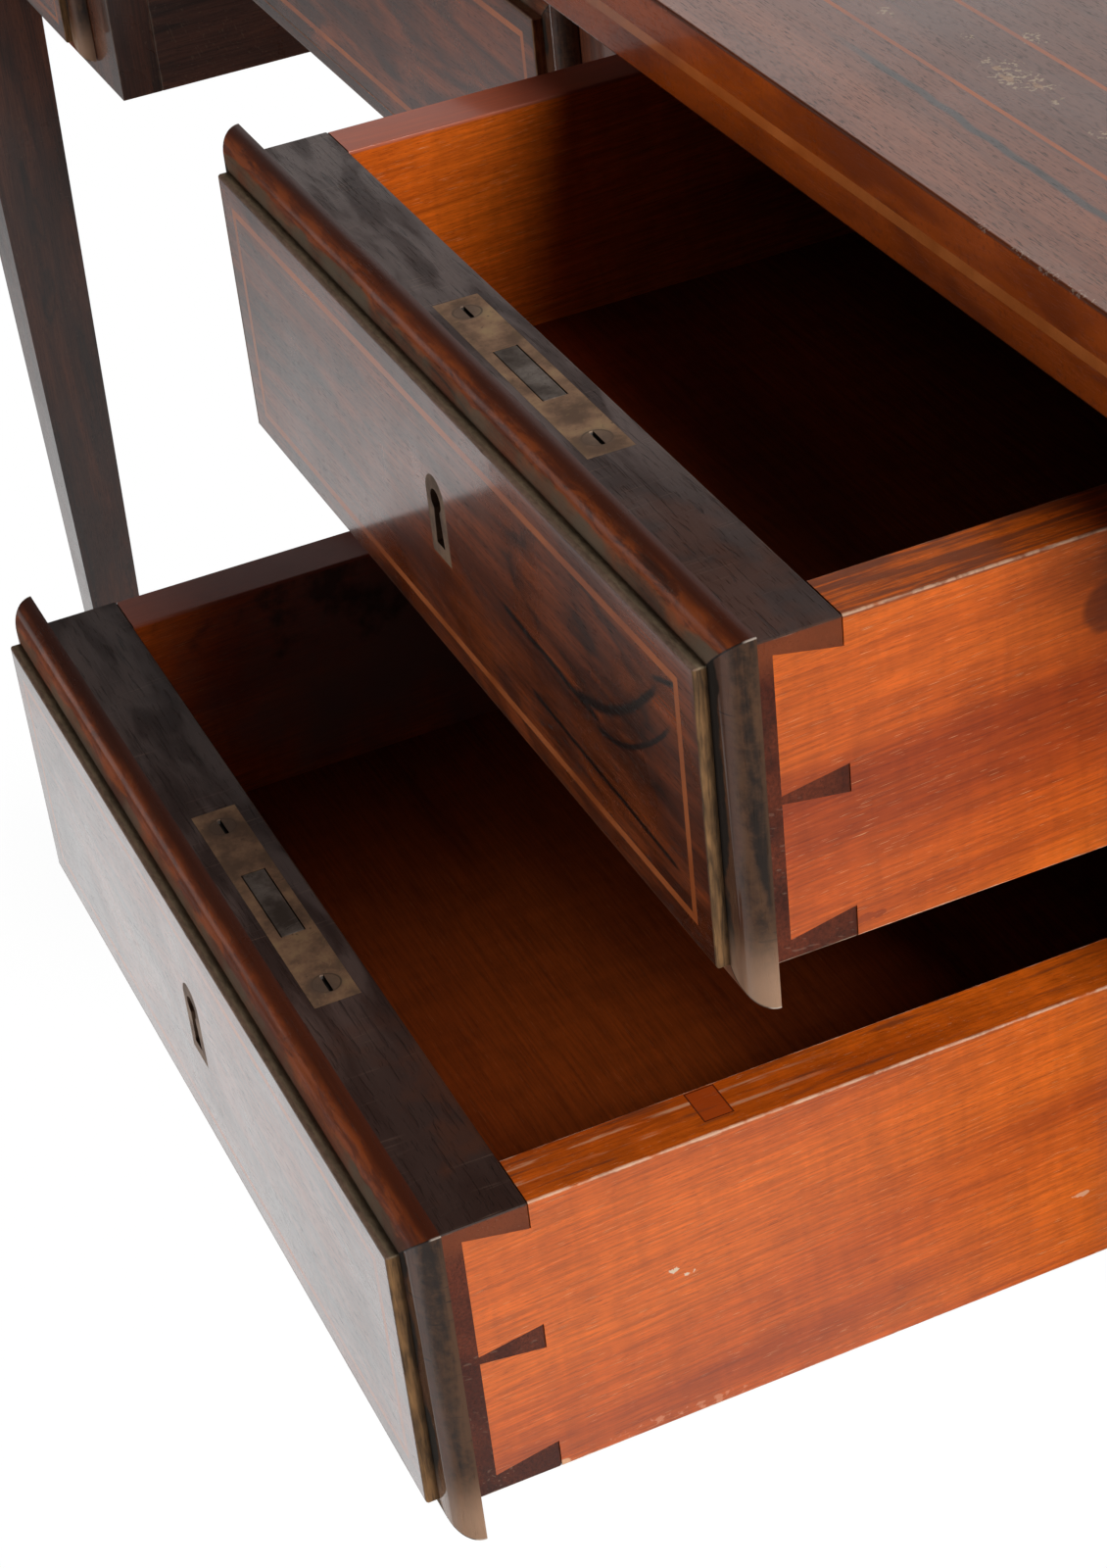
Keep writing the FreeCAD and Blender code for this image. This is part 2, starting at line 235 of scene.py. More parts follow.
def closeGroup(tree, **results):
    for label, wire in results.items():
        kind = "NodeSocketVector" if wire.socket.type == "VECTOR" else "NodeSocketFloat"
        tree.interface.new_socket(label, in_out="OUTPUT", socket_type=kind)
    addNode(tree, "NodeGroupOutput", results)
    return tree


def placeGroup(tree, group, **values):
    return named(addNode(tree, "ShaderNodeGroup", values, node_tree=group).outputs)


# Noises are kept as what noise and drawn take after the place, and ramps as what ramp takes after the value

origin = (0.0, 0.0, 0.0)
groupNumbers = {
    "poreDetail": 1.0, "porePatches": (30.0, 160.0, 2.0), "poreEdge": 0.80, "poreDensity": 0.2,
    "poreByPatch": 0.16, "poreSharpness": 14.0,
    "arrisNoise": (260.0, 5.0, 0.0, 0.5), "arrisRagged": 4.0, "arrisRamp": (1.0, 0.15),
    "smearNoise": (22.0, 6.0, 0.6, 0.6), "scratchTurns": [(0.0, 0.5, 0.35), (0.4, -0.3, 1.25)],
    "lineNoise": (14.0, 1500.0, 0.0), "lineRamp": (0.70, 0.78),
    "breakNoise": (25.0, 60.0, 2.0), "breakRamp": (0.5, 0.62),
    "spotDetail": 4.0, "spotRagged": 6.0, "plainRoughness": 0.5, "middle": 0.5,
}


def buildDrawnNoise():
    tree, given = newGroup(
        "drawnNoise", Vector=origin, Along=10.0, Across=100.0, Detail=3.0, Swirl=0.0, Shift=0.0,
    )
    stretch = joined(given["Along"], given["Across"], given["Across"])
    shift = joined(given["Shift"], given["Shift"], given["Shift"])
    place = given["Vector"] * stretch + shift
    value = noise(place, 1.0, given["Detail"], given["Swirl"], groupNumbers["plainRoughness"])
    return closeGroup(tree, Value=value)


# Noise drawn out along the grain: Along and Across count its waves in a metre

drawnNoise = buildDrawnNoise()


def drawn(place, along, across, detail=3.0, swirl=0.0, shift=0.0):
    numbers = {"Along": along, "Across": across, "Detail": detail, "Swirl": swirl, "Shift": shift}
    return placeGroup(place.tree, drawnNoise, Vector=place, **numbers)["Value"]


# A noise made into patches by a ramp, where both go by one name in a dictionary

def patches(place, numbers, name, make=noise):
    return ramp(make(place, *numbers[name + "Noise"]), *numbers[name + "Ramp"])


# How far a point lies inside its own board, whose box is kept on the mesh

def buildInsideBoard():
    tree, given = newGroup("insideBoard")
    place = objectPlace(tree)
    fromLow = place - attribute(tree, "boardLow")
    fromHigh = attribute(tree, "boardHigh") - place
    return closeGroup(tree, Near=lowest(fromLow, fromHigh), Low=fromLow, High=fromHigh, Place=place)


# Open pores: short dark dashes along the grain, in patches

def buildPores():
    numbers = groupNumbers
    tree, given = newGroup("openPores", Vector=origin, Density=0.5, Length=0.005, Width=0.0003)
    dash = drawn(given["Vector"], 1.0 / given["Length"], 1.0 / given["Width"], numbers["poreDetail"])
    patch = drawn(given["Vector"], *numbers["porePatches"])
    edge = numbers["poreEdge"] - given["Density"] * numbers["poreDensity"] - patch * numbers["poreByPatch"]
    return closeGroup(tree, Mask=clamped((dash - edge) * numbers["poreSharpness"]))


# Wear towards a board's own corners

def buildArrisWear():
    numbers = groupNumbers
    tree, given = newGroup("arrisWear", Width=0.002, Ragged=0.6, Lift=origin)
    inside = placeGroup(tree, insideBoard)
    x, y, z = apart(inside["Near"] + given["Lift"])
    distance = highest(lowest(x, y), lowest(highest(x, y), z))
    rough = (noise(inside["Place"], *numbers["arrisNoise"]) - numbers["middle"]) * numbers["arrisRagged"]
    distance = distance + rough * (given["Ragged"] * given["Width"])
    return closeGroup(tree, Mask=ramp(distance / given["Width"], *numbers["arrisRamp"]))


# Smears in the polish, and fine scratches in two directions

def buildHandling():
    numbers = groupNumbers
    tree, given = newGroup("handling", Vector=origin, Scratches=0.5)
    lines = []
    for turn in numbers["scratchTurns"]:
        turned = wired(tree, "ShaderNodeMapping", {"Vector": given["Vector"], "Rotation": turn})
        line = patches(turned, numbers, "line", drawn)
        lines.append(line * patches(turned, numbers, "break", drawn))
    scratch = clamped((lines[0] + lines[1]) * given["Scratches"])
    return closeGroup(tree, Smear=noise(given["Vector"], *numbers["smearNoise"]), Scratch=scratch)


# A ragged spot round one place on a piece

def buildSpot():
    numbers = groupNumbers
    tree, given = newGroup(
        "raggedSpot", Centre=origin, Size=(0.01, 0.01, 0.01), Ragged=0.5, Scale=300.0, Core=0.7,
    )
    place = objectPlace(tree)
    far = length((place - given["Centre"]) / given["Size"])
    rough = noise(place, given["Scale"], numbers["spotDetail"], 0.0, numbers["plainRoughness"])
    far = far + (rough - numbers["middle"]) * numbers["spotRagged"] * given["Ragged"]
    return closeGroup(tree, Mask=ramp(far, 1.0, given["Core"]))


insideBoard = buildInsideBoard()
openPores = buildPores()
arrisWear = buildArrisWear()
handling = buildHandling()
raggedSpot = buildSpot()


# Finishes

plainLook = {"metallic": 0.0, "ior": 1.5, "coat": 0.0, "coatRoughness": 0.1, "coatIor": 1.5}
smearRamp = (0.3, 0.7)
shadeRamp = (0.2, 0.8)


def startMaterial(name):
    material = bpy.data.materials.new(name)
    material.use_nodes = True
    material.node_tree.nodes.clear()
    return material, material.node_tree


def finishMaterial(material, surface, look, addMarks=None):
    tree = material.node_tree
    look = {**plainLook, **look}
    if addMarks:
        addMarks(surface)
    bump = {"Height": surface["height"], "Distance": look["relief"], "Strength": 1.0}
    shader = wired(tree, "ShaderNodeBsdfPrincipled", {
        "Base Color": surface["colour"], "Roughness": surface["roughness"], "Metallic": look["metallic"],
        "IOR": look["ior"], "Coat Weight": surface.get("coat", look["coat"]),
        "Coat Roughness": look["coatRoughness"], "Coat IOR": look["coatIor"],
        "Normal": wired(tree, "ShaderNodeBump", bump),
    })
    addNode(tree, "ShaderNodeOutputMaterial", {"Surface": shader})
    return material


def paint(surface, mask, colour):
    surface["colour"] = mixColours(mask, surface["colour"], colour)


# A colour made lighter or darker by a mask about a half

def shaded(colour, mask, strength):
    shade = ramp(mask, *shadeRamp, 1.0 - strength, 1.0 + strength)
    grey = wired(shade.tree, "ShaderNodeCombineColor", {0: shade, 1: shade, 2: shade})
    return mixColours(1.0, colour, grey, "MULTIPLY")


# Ragged spots at places on a piece

plainSpot = {"ragged": 0.5, "scale": 300.0, "soft": 0.7, "share": 1.0, "relief": 0.0}
brokenSpot = {"detail": 3.0, "ramp": (0.52, 0.60)}


def addSpots(surface, spots):
    place = objectPlace(surface["colour"].tree)
    for changes in spots:
        spot = {**plainSpot, **changes}
        mask = placeGroup(
            place.tree, raggedSpot, Centre=spot["at"], Size=spot["size"], Ragged=spot["ragged"],
            Scale=spot["scale"], Core=spot["soft"],
        )["Mask"]
        if "broken" in spot:      # only where fine noise is high
            mask = mask * ramp(noise(place, spot["broken"], brokenSpot["detail"]), *brokenSpot["ramp"])
        mask = mask * spot["share"]
        paint(surface, mask, spot["colour"])
        surface["height"] = surface["height"] + mask * spot["relief"]


def grainVector(tree, look):
    if "grainTurn" in look:      # a CAD node has no grain of its own
        inputs = {"Vector": objectPlace(tree), "Rotation": look["grainTurn"]}
        return wired(tree, "ShaderNodeMapping", inputs)
    return attribute(tree, "grain")


def poreMask(grain, density, size):
    long, wide = size
    return placeGroup(grain.tree, openPores, Vector=grain, Density=density, Length=long, Width=wide)["Mask"]


def wearMask(tree, look):
    return placeGroup(tree, arrisWear, Width=look["wearWidth"], Lift=look["wearLift"])["Mask"]


rosewoodLook = {
    "light": (0.40, 0.090, 0.022), "middle": (0.17, 0.036, 0.011), "dark": (0.016, 0.009, 0.007),
    "figureNoise": (7.0, 55.0, 4.0, 1.4), "figureRamp": (0.36, 0.66),
    "inkNoise": (4.5, 42.0, 2.5, 1.8, 7.3), "inkRamp": (0.50, 0.62), "ink": 0.85,
    "inkRings": 9.0, "ringRamp": (0.22, 0.02), "betweenRings": (0.0, 1.0, 0.55, 1.0),
    "fibreNoise": (45.0, 1500.0, 3.0), "fibre": 0.35, "fibreRelief": 0.35,
    "pores": 0.45, "poreSize": (0.004, 0.00022), "poreShare": 0.8, "poreDull": 0.3,
    "wearWidth": 0.0008, "wear": 0.3, "wearLift": origin, "wearColour": (0.30, 0.19, 0.12),
    "scratches": 0.5, "scratchShare": 0.35, "scratchRelief": 0.5, "roughness": (0.24, 0.40),
    "coat": 1.0, "coatRoughness": 0.10, "coatIor": 1.36, "ior": 1.36, "relief": 0.00004,
}


def buildRosewood(name, changes, addMarks=None):
    look = {**rosewoodLook, **changes}
    material, tree = startMaterial(name)
    grain = grainVector(tree, look)
    ink = drawn(grain, *look["inkNoise"])
    rings = abs(combine("FRACT", ink * look["inkRings"]) - 0.5)
    inked = ramp(ink, *look["inkRamp"]) * ramp(ramp(rings, *look["ringRamp"]), *look["betweenRings"])
    fibre = drawn(grain, *look["fibreNoise"])
    pores = poreMask(grain, look["pores"], look["poreSize"])
    handled = placeGroup(tree, handling, Vector=grain, Scratches=look["scratches"])
    colour = mixColours(patches(grain, look, "figure", drawn), look["middle"], look["light"])
    colour = mixColours(inked * look["ink"], colour, look["dark"])
    colour = layered(
        shaded(colour, fibre, look["fibre"]),
        (pores * look["poreShare"], look["dark"]),
        (wearMask(tree, look) * look["wear"], look["wearColour"]),
        (handled["Scratch"] * look["scratchShare"], look["wearColour"]),
    )
    polish = ramp(handled["Smear"], *smearRamp, *look["roughness"])
    height = fibre * look["fibreRelief"] - pores - handled["Scratch"] * look["scratchRelief"]
    surface = {"colour": colour, "roughness": clamped(polish + pores * look["poreDull"]), "height": height}
    return finishMaterial(material, surface, look, addMarks)


mahoganyLook = {
    "light": (0.73, 0.140, 0.007), "middle": (0.56, 0.088, 0.003), "dark": (0.24, 0.025, 0.001),
    "wideNoise": (5.0, 22.0, 2.0, 0.0, 3.1), "wideRamp": (0.35, 0.65),
    "bandNoise": (2.4, 65.0, 3.0, 0.45), "bandRamp": (0.42, 0.68), "bandPatches": (0.62, 0.42, 0.25, 1.0),
    "bands": 0.72, "lineNoise": (22.0, 520.0, 3.0, 0.4), "lineRamp": (0.46, 0.70), "lines": 0.20,
    "fibreNoise": (70.0, 1500.0, 4.0, 0.3), "fibre": 0.26, "fibreRelief": 0.6,
    "rippleNoise": (240.0, 60.0, 3.0, 0.5), "ripple": 0.10,
    "pores": 0.50, "poreSize": (0.0022, 0.00014), "poreShare": 0.5,
    # flecks: small dents along the grain, their pale colour a painted glint
    "fleckShift": (0.37, 0.11, 0.23), "fleckDensity": 0.10, "fleckSize": (0.0042, 0.00015),
    "glintFlecks": 0.55, "fleckGlintColour": (0.92, 0.50, 0.24), "fleckRelief": 0.4,
    # wear: a pale line along the boards' long arrises, worn edge and painted highlight
    "wearWidth": 0.0005, "wear": 0.8, "wearLift": (0.0, 1.0, 0.0), "wearColour": (0.92, 0.60, 0.42),
    "roughness": (0.42, 0.54),
    "coat": 0.85, "coatRoughness": 0.13, "coatIor": 1.5, "ior": 1.3, "relief": 0.00007,
}


def buildMahogany(name, changes, addMarks=None):
    look = {**mahoganyLook, **changes}
    material, tree = startMaterial(name)
    grain = grainVector(tree, look)
    wide = drawn(grain, *look["wideNoise"])
    bands = patches(grain, look, "band", drawn)
    bands = bands * (ramp(wide, *look["bandPatches"]) * look["bands"])
    lines = patches(grain, look, "line", drawn) * look["lines"]
    pores = poreMask(grain, look["pores"], look["poreSize"])
    glintFlecks = poreMask(grain + look["fleckShift"], look["fleckDensity"], look["fleckSize"])
    fibre = drawn(grain, *look["fibreNoise"])
    ripple = drawn(grain, *look["rippleNoise"])
    colour = layered(
        mixColours(ramp(wide, *look["wideRamp"]), look["middle"], look["light"]),
        (highest(bands, lines), look["dark"]),
        (pores * look["poreShare"], look["dark"]),
    )
    colour = layered(
        shaded(shaded(colour, fibre, look["fibre"]), ripple, look["ripple"]),
        # pale flecks: dents with a painted glint
        (glintFlecks * look["glintFlecks"], look["fleckGlintColour"]),
        # the pale arris line: worn edge and painted highlight
        (wearMask(tree, look) * look["wear"], look["wearColour"]),
    )
    smear = placeGroup(tree, handling, Vector=grain)["Smear"]
    height = fibre * look["fibreRelief"] - glintFlecks * look["fleckRelief"]
    surface = {"colour": colour, "roughness": ramp(smear, *smearRamp, *look["roughness"]), "height": height}
    return finishMaterial(material, surface, look, addMarks)


metalLook = {
    "base": (0.42, 0.240, 0.140), "worn": (0.52, 0.36, 0.17), "dull": (0.20, 0.120, 0.078),
    "cloudNoise": (110.0, 6.0, 0.0, 0.62), "cloudRamp": (0.38, 0.62), "rubRamp": (0.52, 0.75), "rub": 0.8,
    "speckNoise": (900.0, 3.0, 0.0, 0.5), "speckRamp": (0.62, 0.75), "speckRelief": 0.5,
    "wearWidth": 0.0015, "wear": 0.1, "scratches": 0.6, "scratchShare": 0.4,
    "screw": (0.17, 0.118, 0.088), "screwApart": 0.0315, "screwRadius": 0.0030,
    "screwRamp": (0.0045, 0.0021, 0.0, 0.7), "rim": (0.030, 0.022, 0.018), "rimRamp": (0.0003, 0.0001),
    "rimClouds": (0.40, 0.60, 0.15, 0.6), "slotRamp": (0.00010, 0.00030), "slotInset": 0.002,
    "keyholeRamp": (0.03, 0.02, 0.0, 0.45),
    "roughness": (0.70, 0.50), "relief": 0.00003, "metallic": 0.5,
}


def buildMetal(name, changes):
    look = {**metalLook, **changes}
    material, tree = startMaterial(name)
    place = objectPlace(tree)
    inside = placeGroup(tree, insideBoard)
    cloud = noise(place, *look["cloudNoise"])
    speck = noise(place, *look["speckNoise"])
    wear = placeGroup(tree, arrisWear, Width=look["wearWidth"])["Mask"]
    rubbed = highest(ramp(cloud, *look["rubRamp"]) * look["rub"], wear * look["wear"])
    scratch = placeGroup(tree, handling, Vector=place, Scratches=look["scratches"])["Scratch"]
    across, through, down = apart(inside["Low"] - inside["High"])
    away = length(joined(abs(across * 0.5) - look["screwApart"], through * 0.5))
    rim = ramp(abs(away - look["screwRadius"]), *look["rimRamp"]) * ramp(cloud, *look["rimClouds"])
    wide = apart(inside["Low"] + inside["High"])[0]
    nearX, nearY, nearZ = apart(inside["Near"])
    slot = ramp(apart(inside["High"])[2], *look["slotRamp"]) * (lowest(nearX, nearY) > look["slotInset"])
    colour = layered(
        mixColours(ramp(cloud, *look["cloudRamp"]), look["dull"], look["base"]),
        (rubbed, look["worn"]),
        (ramp(speck, *look["speckRamp"]), look["dull"]),
        (scratch * look["scratchShare"], look["worn"]),
        (ramp(away, *look["screwRamp"]), look["screw"]),
        (rim, look["rim"]),
        (ramp(wide, *look["keyholeRamp"]), look["rim"]),
        (slot, look["rim"]),
    )
    surface = {"colour": colour, "roughness": ramp(cloud, *smearRamp, *look["roughness"])}
    surface["height"] = cloud + speck * look["speckRelief"]
    return finishMaterial(material, surface, look)


# Boxwood, with the line round the top's edge painted lighter: painted light for that dimly lit edge

boxwoodLook = {
    "light": (0.62, 0.165, 0.038), "dark": (0.42, 0.096, 0.018), "paintedEdgeLight": (1.35, 1.45, 1.15),
    "longNoise": (45.0, 4.0, 0.5, 0.5), "longRamp": (0.3, 0.7), "fineNoise": (1100.0, 2.0, 0.0, 0.5),
    "fine": 0.4, "lift": 0.2, "paintedEdgeRamp": (-0.001, -0.003), "lowest": -0.02,
    "roughness": (0.34, 0.49), "coat": 1.0, "coatRoughness": 0.12, "coatIor": 1.36, "ior": 1.36,
    "relief": 0.00002,
}


def buildBoxwood(name):
    look = boxwoodLook
    material, tree = startMaterial(name)
    place = objectPlace(tree)
    long = noise(place, *look["longNoise"])
    fine = noise(place, *look["fineNoise"])
    share = clamped(ramp(long, *look["longRamp"]) + fine * look["fine"] - look["lift"])
    colour = mixColours(share, look["dark"], look["light"])
    height = apart(place)[2]
    # painted light: the line round the top's edge is made lighter
    low = ramp(height, *(frameTop + step for step in look["paintedEdgeRamp"])) * (height > frameTop + look["lowest"])
    colour = mixColours(low, colour, mixColours(1.0, colour, look["paintedEdgeLight"], "MULTIPLY"))
    roughness = ramp(long, *smearRamp, *look["roughness"])
    return finishMaterial(material, {"colour": colour, "roughness": roughness, "height": fine}, look)


# The top: a warm veneered edge below its faded upper face, a dark streak, worn specks and chips

topMarks = {
    "streakFrom": 0.345, "streakY": -0.1796, "streakSlope": -0.012, "streakNoise": (34.0, 2.0),
    "streakWander": 0.0045, "streakRamp": (0.0013, 0.00052), "streakStart": (0.345, 0.385, 0.0, 0.85),
    "streakColour": (0.055, 0.060, 0.062),
    "zoneRamp": (-0.1745, -0.1725, 0.0, 0.45), "zoneColour": (0.115, 0.060, 0.050),
    "wornWide": (0.009, 0.003), "wornFrom": (0.42, 0.50), "wornNoise": (150.0, 5.0),
    "wornRamp": (0.35, 0.65, 0.3, 1.0), "wornShare": 0.5, "wornColour": (0.30, 0.20, 0.165),
    "edgeRamp": (0.0007, 0.00035), "edgeCoat": (0.0, 1.0, 1.0, 0.42),
    "edgeLight": (0.60, 0.108, 0.009), "edgeDark": (0.30, 0.052, 0.007),
    "mottleNoise": (26.0, 110.0, 6.0, 0.5), "mottleRamp": (0.34, 0.66),
    "speckNoise": (700.0, 3.0), "speckRamp": (0.54, 0.68, 0.0, 0.5), "darkerRamp": (0.44, 0.55, 0.0, 0.30),
    "arris": (0.070, 0.020, 0.007), "arrisRamp": (0.0009, 0.0004, 0.0, 0.75),
    "spotDepth": 0.0002,
    "spots": [      # what a kind of spot is like, and the place and size of each
        ({"colour": (0.62, 0.44, 0.27), "share": 0.8, "relief": -0.5, "ragged": 0.6, "scale": 160.0,
          "broken": 900.0}, [
            ((0.4000, -0.1612), (0.0130, 0.0048, 0.002)), ((0.3858, -0.1487), (0.0040, 0.0020, 0.002)),
            ((0.3764, -0.1583), (0.0030, 0.0016, 0.002)), ((0.4331, -0.1625), (0.0040, 0.0020, 0.002)),
            ((0.3548, -0.1656), (0.0040, 0.0018, 0.002)),
        ]),
        ({"colour": (0.50, 0.27, 0.13), "share": 0.8, "relief": -0.7, "ragged": 0.6, "scale": 500.0}, [
            ((0.3940, -0.1623), (0.0022, 0.0009, 0.002)), ((0.3995, -0.1630), (0.0032, 0.0009, 0.002)),
            ((0.4060, -0.1604), (0.0024, 0.0009, 0.002)),
        ]),
        ({"colour": (0.62, 0.46, 0.36), "share": 0.55, "relief": -1.0, "scale": 500.0, "broken": 1600.0}, [
            ((0.4535, -0.2005), (0.0030, 0.0009, 0.0009)), ((0.4674, -0.2005), (0.0035, 0.0009, 0.0009)),
            ((0.4763, -0.2005), (0.0045, 0.0009, 0.0009)), ((0.4879, -0.2005), (0.0050, 0.0009, 0.0009)),
            ((0.5080, -0.2005), (0.0100, 0.0009, 0.0009)),
        ]),
    ],
}


def ageTop(surface):
    marks = topMarks
    inside = placeGroup(surface["colour"].tree, insideBoard)
    place = inside["Place"]
    x, y, z = apart(place)
    nearX, nearY, nearZ = apart(inside["Near"])
    wander = (noise(joined(x), *marks["streakNoise"]) - 0.5) * marks["streakWander"]
    line = (x - marks["streakFrom"]) * marks["streakSlope"] + marks["streakY"]
    streak = ramp(abs(y - (line + wander)), *marks["streakRamp"]) * ramp(x, *marks["streakStart"])
    paint(surface, streak, marks["streakColour"])
    paint(surface, ramp(y, *marks["zoneRamp"]), marks["zoneColour"])
    worn = ramp(nearY, *marks["wornWide"]) * ramp(x, *marks["wornFrom"])
    worn = worn * patches(place, marks, "worn") * marks["wornShare"]
    paint(surface, worn, marks["wornColour"])
    warm = layered(
        mixColours(patches(place, marks, "mottle", drawn), marks["edgeLight"], marks["edgeDark"]),
        (patches(place, marks, "speck"), marks["edgeDark"]),
        (ramp(abs(x), *marks["darkerRamp"]), marks["edgeDark"]),
        (ramp(nearZ, *marks["arrisRamp"]), marks["arris"]),
    )
    edge = ramp(lowest(nearX, nearY), *marks["edgeRamp"])
    paint(surface, edge, warm)
    surface["coat"] = ramp(edge, *marks["edgeCoat"])
    height = frameTop - marks["spotDepth"]
    for kind, places in marks["spots"]:
        addSpots(surface, [
            {**kind, "at": (*at, height), "size": size} for at, size in places
        ])


# Faces: grime on the raised panels' sawn edges, and dark loops and veins in the figure

faceMarks = {
    "ink": (0.014, 0.008, 0.006), "endRamp": (0.11, 0.03, 0.0, 0.05),
    "bendNoise": ((50.0, 50.0, 110.0), 2.5), "bend": 1.8,
    "patchNoise": (120.0, 4.0), "patchRamp": (0.34, 0.62, 0.45, 1.0),
    "loopCentre": (0.4560, -0.289, 0.7070), "loopSize": (0.0190, 0.02, 0.0070), "loopRings": 1.5,
    "loopReach": (1.9, 3.2, 0.65, 0.0), "loopLine": (0.72, 0.96), "loopShade": (0.0, 0.9, 0.0, 0.55),
    "veins": [
        {"from": (0.4570, 0.6920), "slope": 0.20, "bend": 12.5, "run": (-0.006, 0.036), "width": 0.0019},
        {"from": (0.4641, 0.6886), "slope": 0.13, "bend": 14.8, "run": (-0.004, 0.033), "width": 0.0011},
        {"from": (0.4900, 0.7152), "slope": 0.35, "bend": 0.0, "run": (-0.002, 0.012), "width": 0.0010},
        {"from": (0.4165, 0.6926), "slope": -0.05, "bend": 0.0, "run": (0.000, 0.048), "width": 0.0012},
        {"from": (0.4280, 0.6786), "slope": -0.04, "bend": 0.0, "run": (0.000, 0.068), "width": 0.0010},
    ],
    "veinNoise": ((90.0, 0.0, 90.0), 3.0), "veinWander": 0.0012, "veinEnd": 0.004, "veinCore": 0.25,
    "arris": (0.045, 0.024, 0.019), "arrisRamp": (0.0022, 0.0006, 0.0, 0.5),
    "edgeRamp": (0.0006, 0.0003), "edgeDull": 0.4, "coatRamp": (0.0006, 0.0009),
    "pale": (0.34, 0.180, 0.075), "dark": (0.075, 0.043, 0.022),
    "speckNoise": ((500.0, 1400.0, 150.0), 5.0, 0.4), "speckShare": 0.6, "speckRamp": (0.34, 0.66),
    "cloudNoise": (90.0, 4.0), "cloudShare": 0.4,
    "ledgeDark": (0.260, 0.165, 0.115), "ledgeDust": (0.340, 0.255, 0.165), "ledgeRamp": (0.0006, 0.0012),
    "ledgeShade": 0.5,
}


def veinMask(vein, x, z, wander):
    marks = faceMarks
    run = x - vein["from"][0]
    rise = run * (run * vein["bend"] + vein["slope"])
    away = abs(z - vein["from"][1] - (rise + wander))
    start, stop = vein["run"]
    line = ramp(away, vein["width"], vein["width"] * marks["veinCore"])
    return line * ramp(run, start, start + marks["veinEnd"]) * ramp(run, stop, stop - marks["veinEnd"])


def markFaces(surface):
    marks = faceMarks
    inside = placeGroup(surface["colour"].tree, insideBoard)
    place = inside["Place"]
    x, y, z = apart(place)
    nearX, nearY, nearZ = apart(inside["Near"])
    fromRight, fromBack, fromTop = apart(inside["High"])
    paint(surface, ramp(fromRight, *marks["endRamp"]), marks["ink"])
    patchy = patches(place, marks, "patch")
    bend = (noise(place, *marks["bendNoise"]) - 0.5) * marks["bend"]
    far = length((place - marks["loopCentre"]) / marks["loopSize"])
    wave = combine("SINE", (far + bend) * (marks["loopRings"] * math.pi))
    loop = highest(ramp(wave, *marks["loopLine"]), ramp(wave, *marks["loopShade"]))
    paint(surface, loop * ramp(far, *marks["loopReach"]) * patchy, marks["ink"])
    wander = (noise(place, *marks["veinNoise"]) - 0.5) * marks["veinWander"]
    for vein in marks["veins"]:
        paint(surface, veinMask(vein, x, z, wander), marks["ink"])
    within = lowest(nearX, nearZ)
    paint(surface, ramp(within, *marks["arrisRamp"]) * patchy, marks["arris"])
    speck = noise(place, *marks["speckNoise"]) * marks["speckShare"]
    speck = speck + noise(place, *marks["cloudNoise"]) * marks["cloudShare"]
    settled = ramp(apart(inside["Low"])[1], *marks["ledgeRamp"])
    ledge = shaded(mixColours(settled, marks["ledgeDark"], marks["ledgeDust"]), speck, marks["ledgeShade"])
    grime = mixColours(ramp(speck, *marks["speckRamp"]), marks["pale"], marks["dark"])
    grime = mixColours(ramp(fromTop, *marks["edgeRamp"]), grime, ledge)
    edge = ramp(within, *marks["edgeRamp"])
    paint(surface, edge, grime)
    surface["roughness"] = clamped(surface["roughness"] + edge * marks["edgeDull"])
    surface["coat"] = ramp(within, *marks["coatRamp"])


# Lips: dust and a near-black line beside the panel, a crown lighter from wear and painted highlight, painted
# shade towards the board behind, dull uprights, and a dark mitre line with a painted glint

lipMarks = {
    "depth": 0.0062,      # most ramps go over a share of it, from the front
    "wanderNoise": (60.0, 4.0), "wander": 0.30,
    "mottleNoise": ((70.0, 300.0, 300.0), 7.0, 0.4, 0.68), "mottleRamp": (0.38, 0.60),
    # crown: a lighter band, worn and painted highlight; shade: painted shade towards the board behind
    "crownWornAndLit": (0.50, 0.105, 0.018), "crownRise": (0.0, 0.08), "crownFall": (0.66, 0.26),
    "crownMottle": (0.0, 1.0, 1.0, 0.12), "crownShare": 0.75,
    "shade": (0.070, 0.013, 0.003), "shadeRamp": (0.36, 0.66, 0.0, 0.85),
    "dust": (0.150, 0.112, 0.070), "dustDepth": (0.12, 0.07), "dustNoise": (40.0, 5.0),
    "dustRamp": (0.36, 0.62, 0.15, 0.85),
    "uprightPale": (0.105, 0.050, 0.024), "uprightDark": (0.016, 0.011, 0.008),
    "uprightRed": (0.115, 0.040, 0.018), "grime": (0.014, 0.011, 0.008), "upright": 0.95,
    "streakNoise": (25.0, 210.0, 7.0, 0.8), "streakShare": 0.65, "streakRamp": (0.38, 0.60),
    "spotNoise": (420.0, 5.0, 0.3, 0.7), "spotShare": 0.35,
    "redRamp": (0.30, 0.12, 0.0, 0.7), "paleRamp": (0.82, 0.95, 0.0, 0.6), "grimeRamp": (0.03, 0.0),
    "crossNoise": ((800.0, 90.0, 90.0), 2.0, 0.6), "crossRamp": (0.66, 0.72, 0.0, 0.75),
    "foot": (0.56, 0.34, 0.22), "footRamp": (0.020, 0.004, 0.0, 0.7),
    "mitreRamp": (0.00040, 0.00012, 0.0, 0.85), "mitre": (0.012, 0.008, 0.006),
    "glint": (0.62, 0.52, 0.45), "glintRamp": (0.58, 0.72),
    "uprightDull": 0.25, "dullRamp": (0.26, 0.06, 0.0, 0.5),
    "coat": 0.9, "coatRamp": (0.06, 0.26), "uprightCoat": (0.0, 0.04), "bareRamp": (0.14, 0.42, 0.0, 0.93),
}


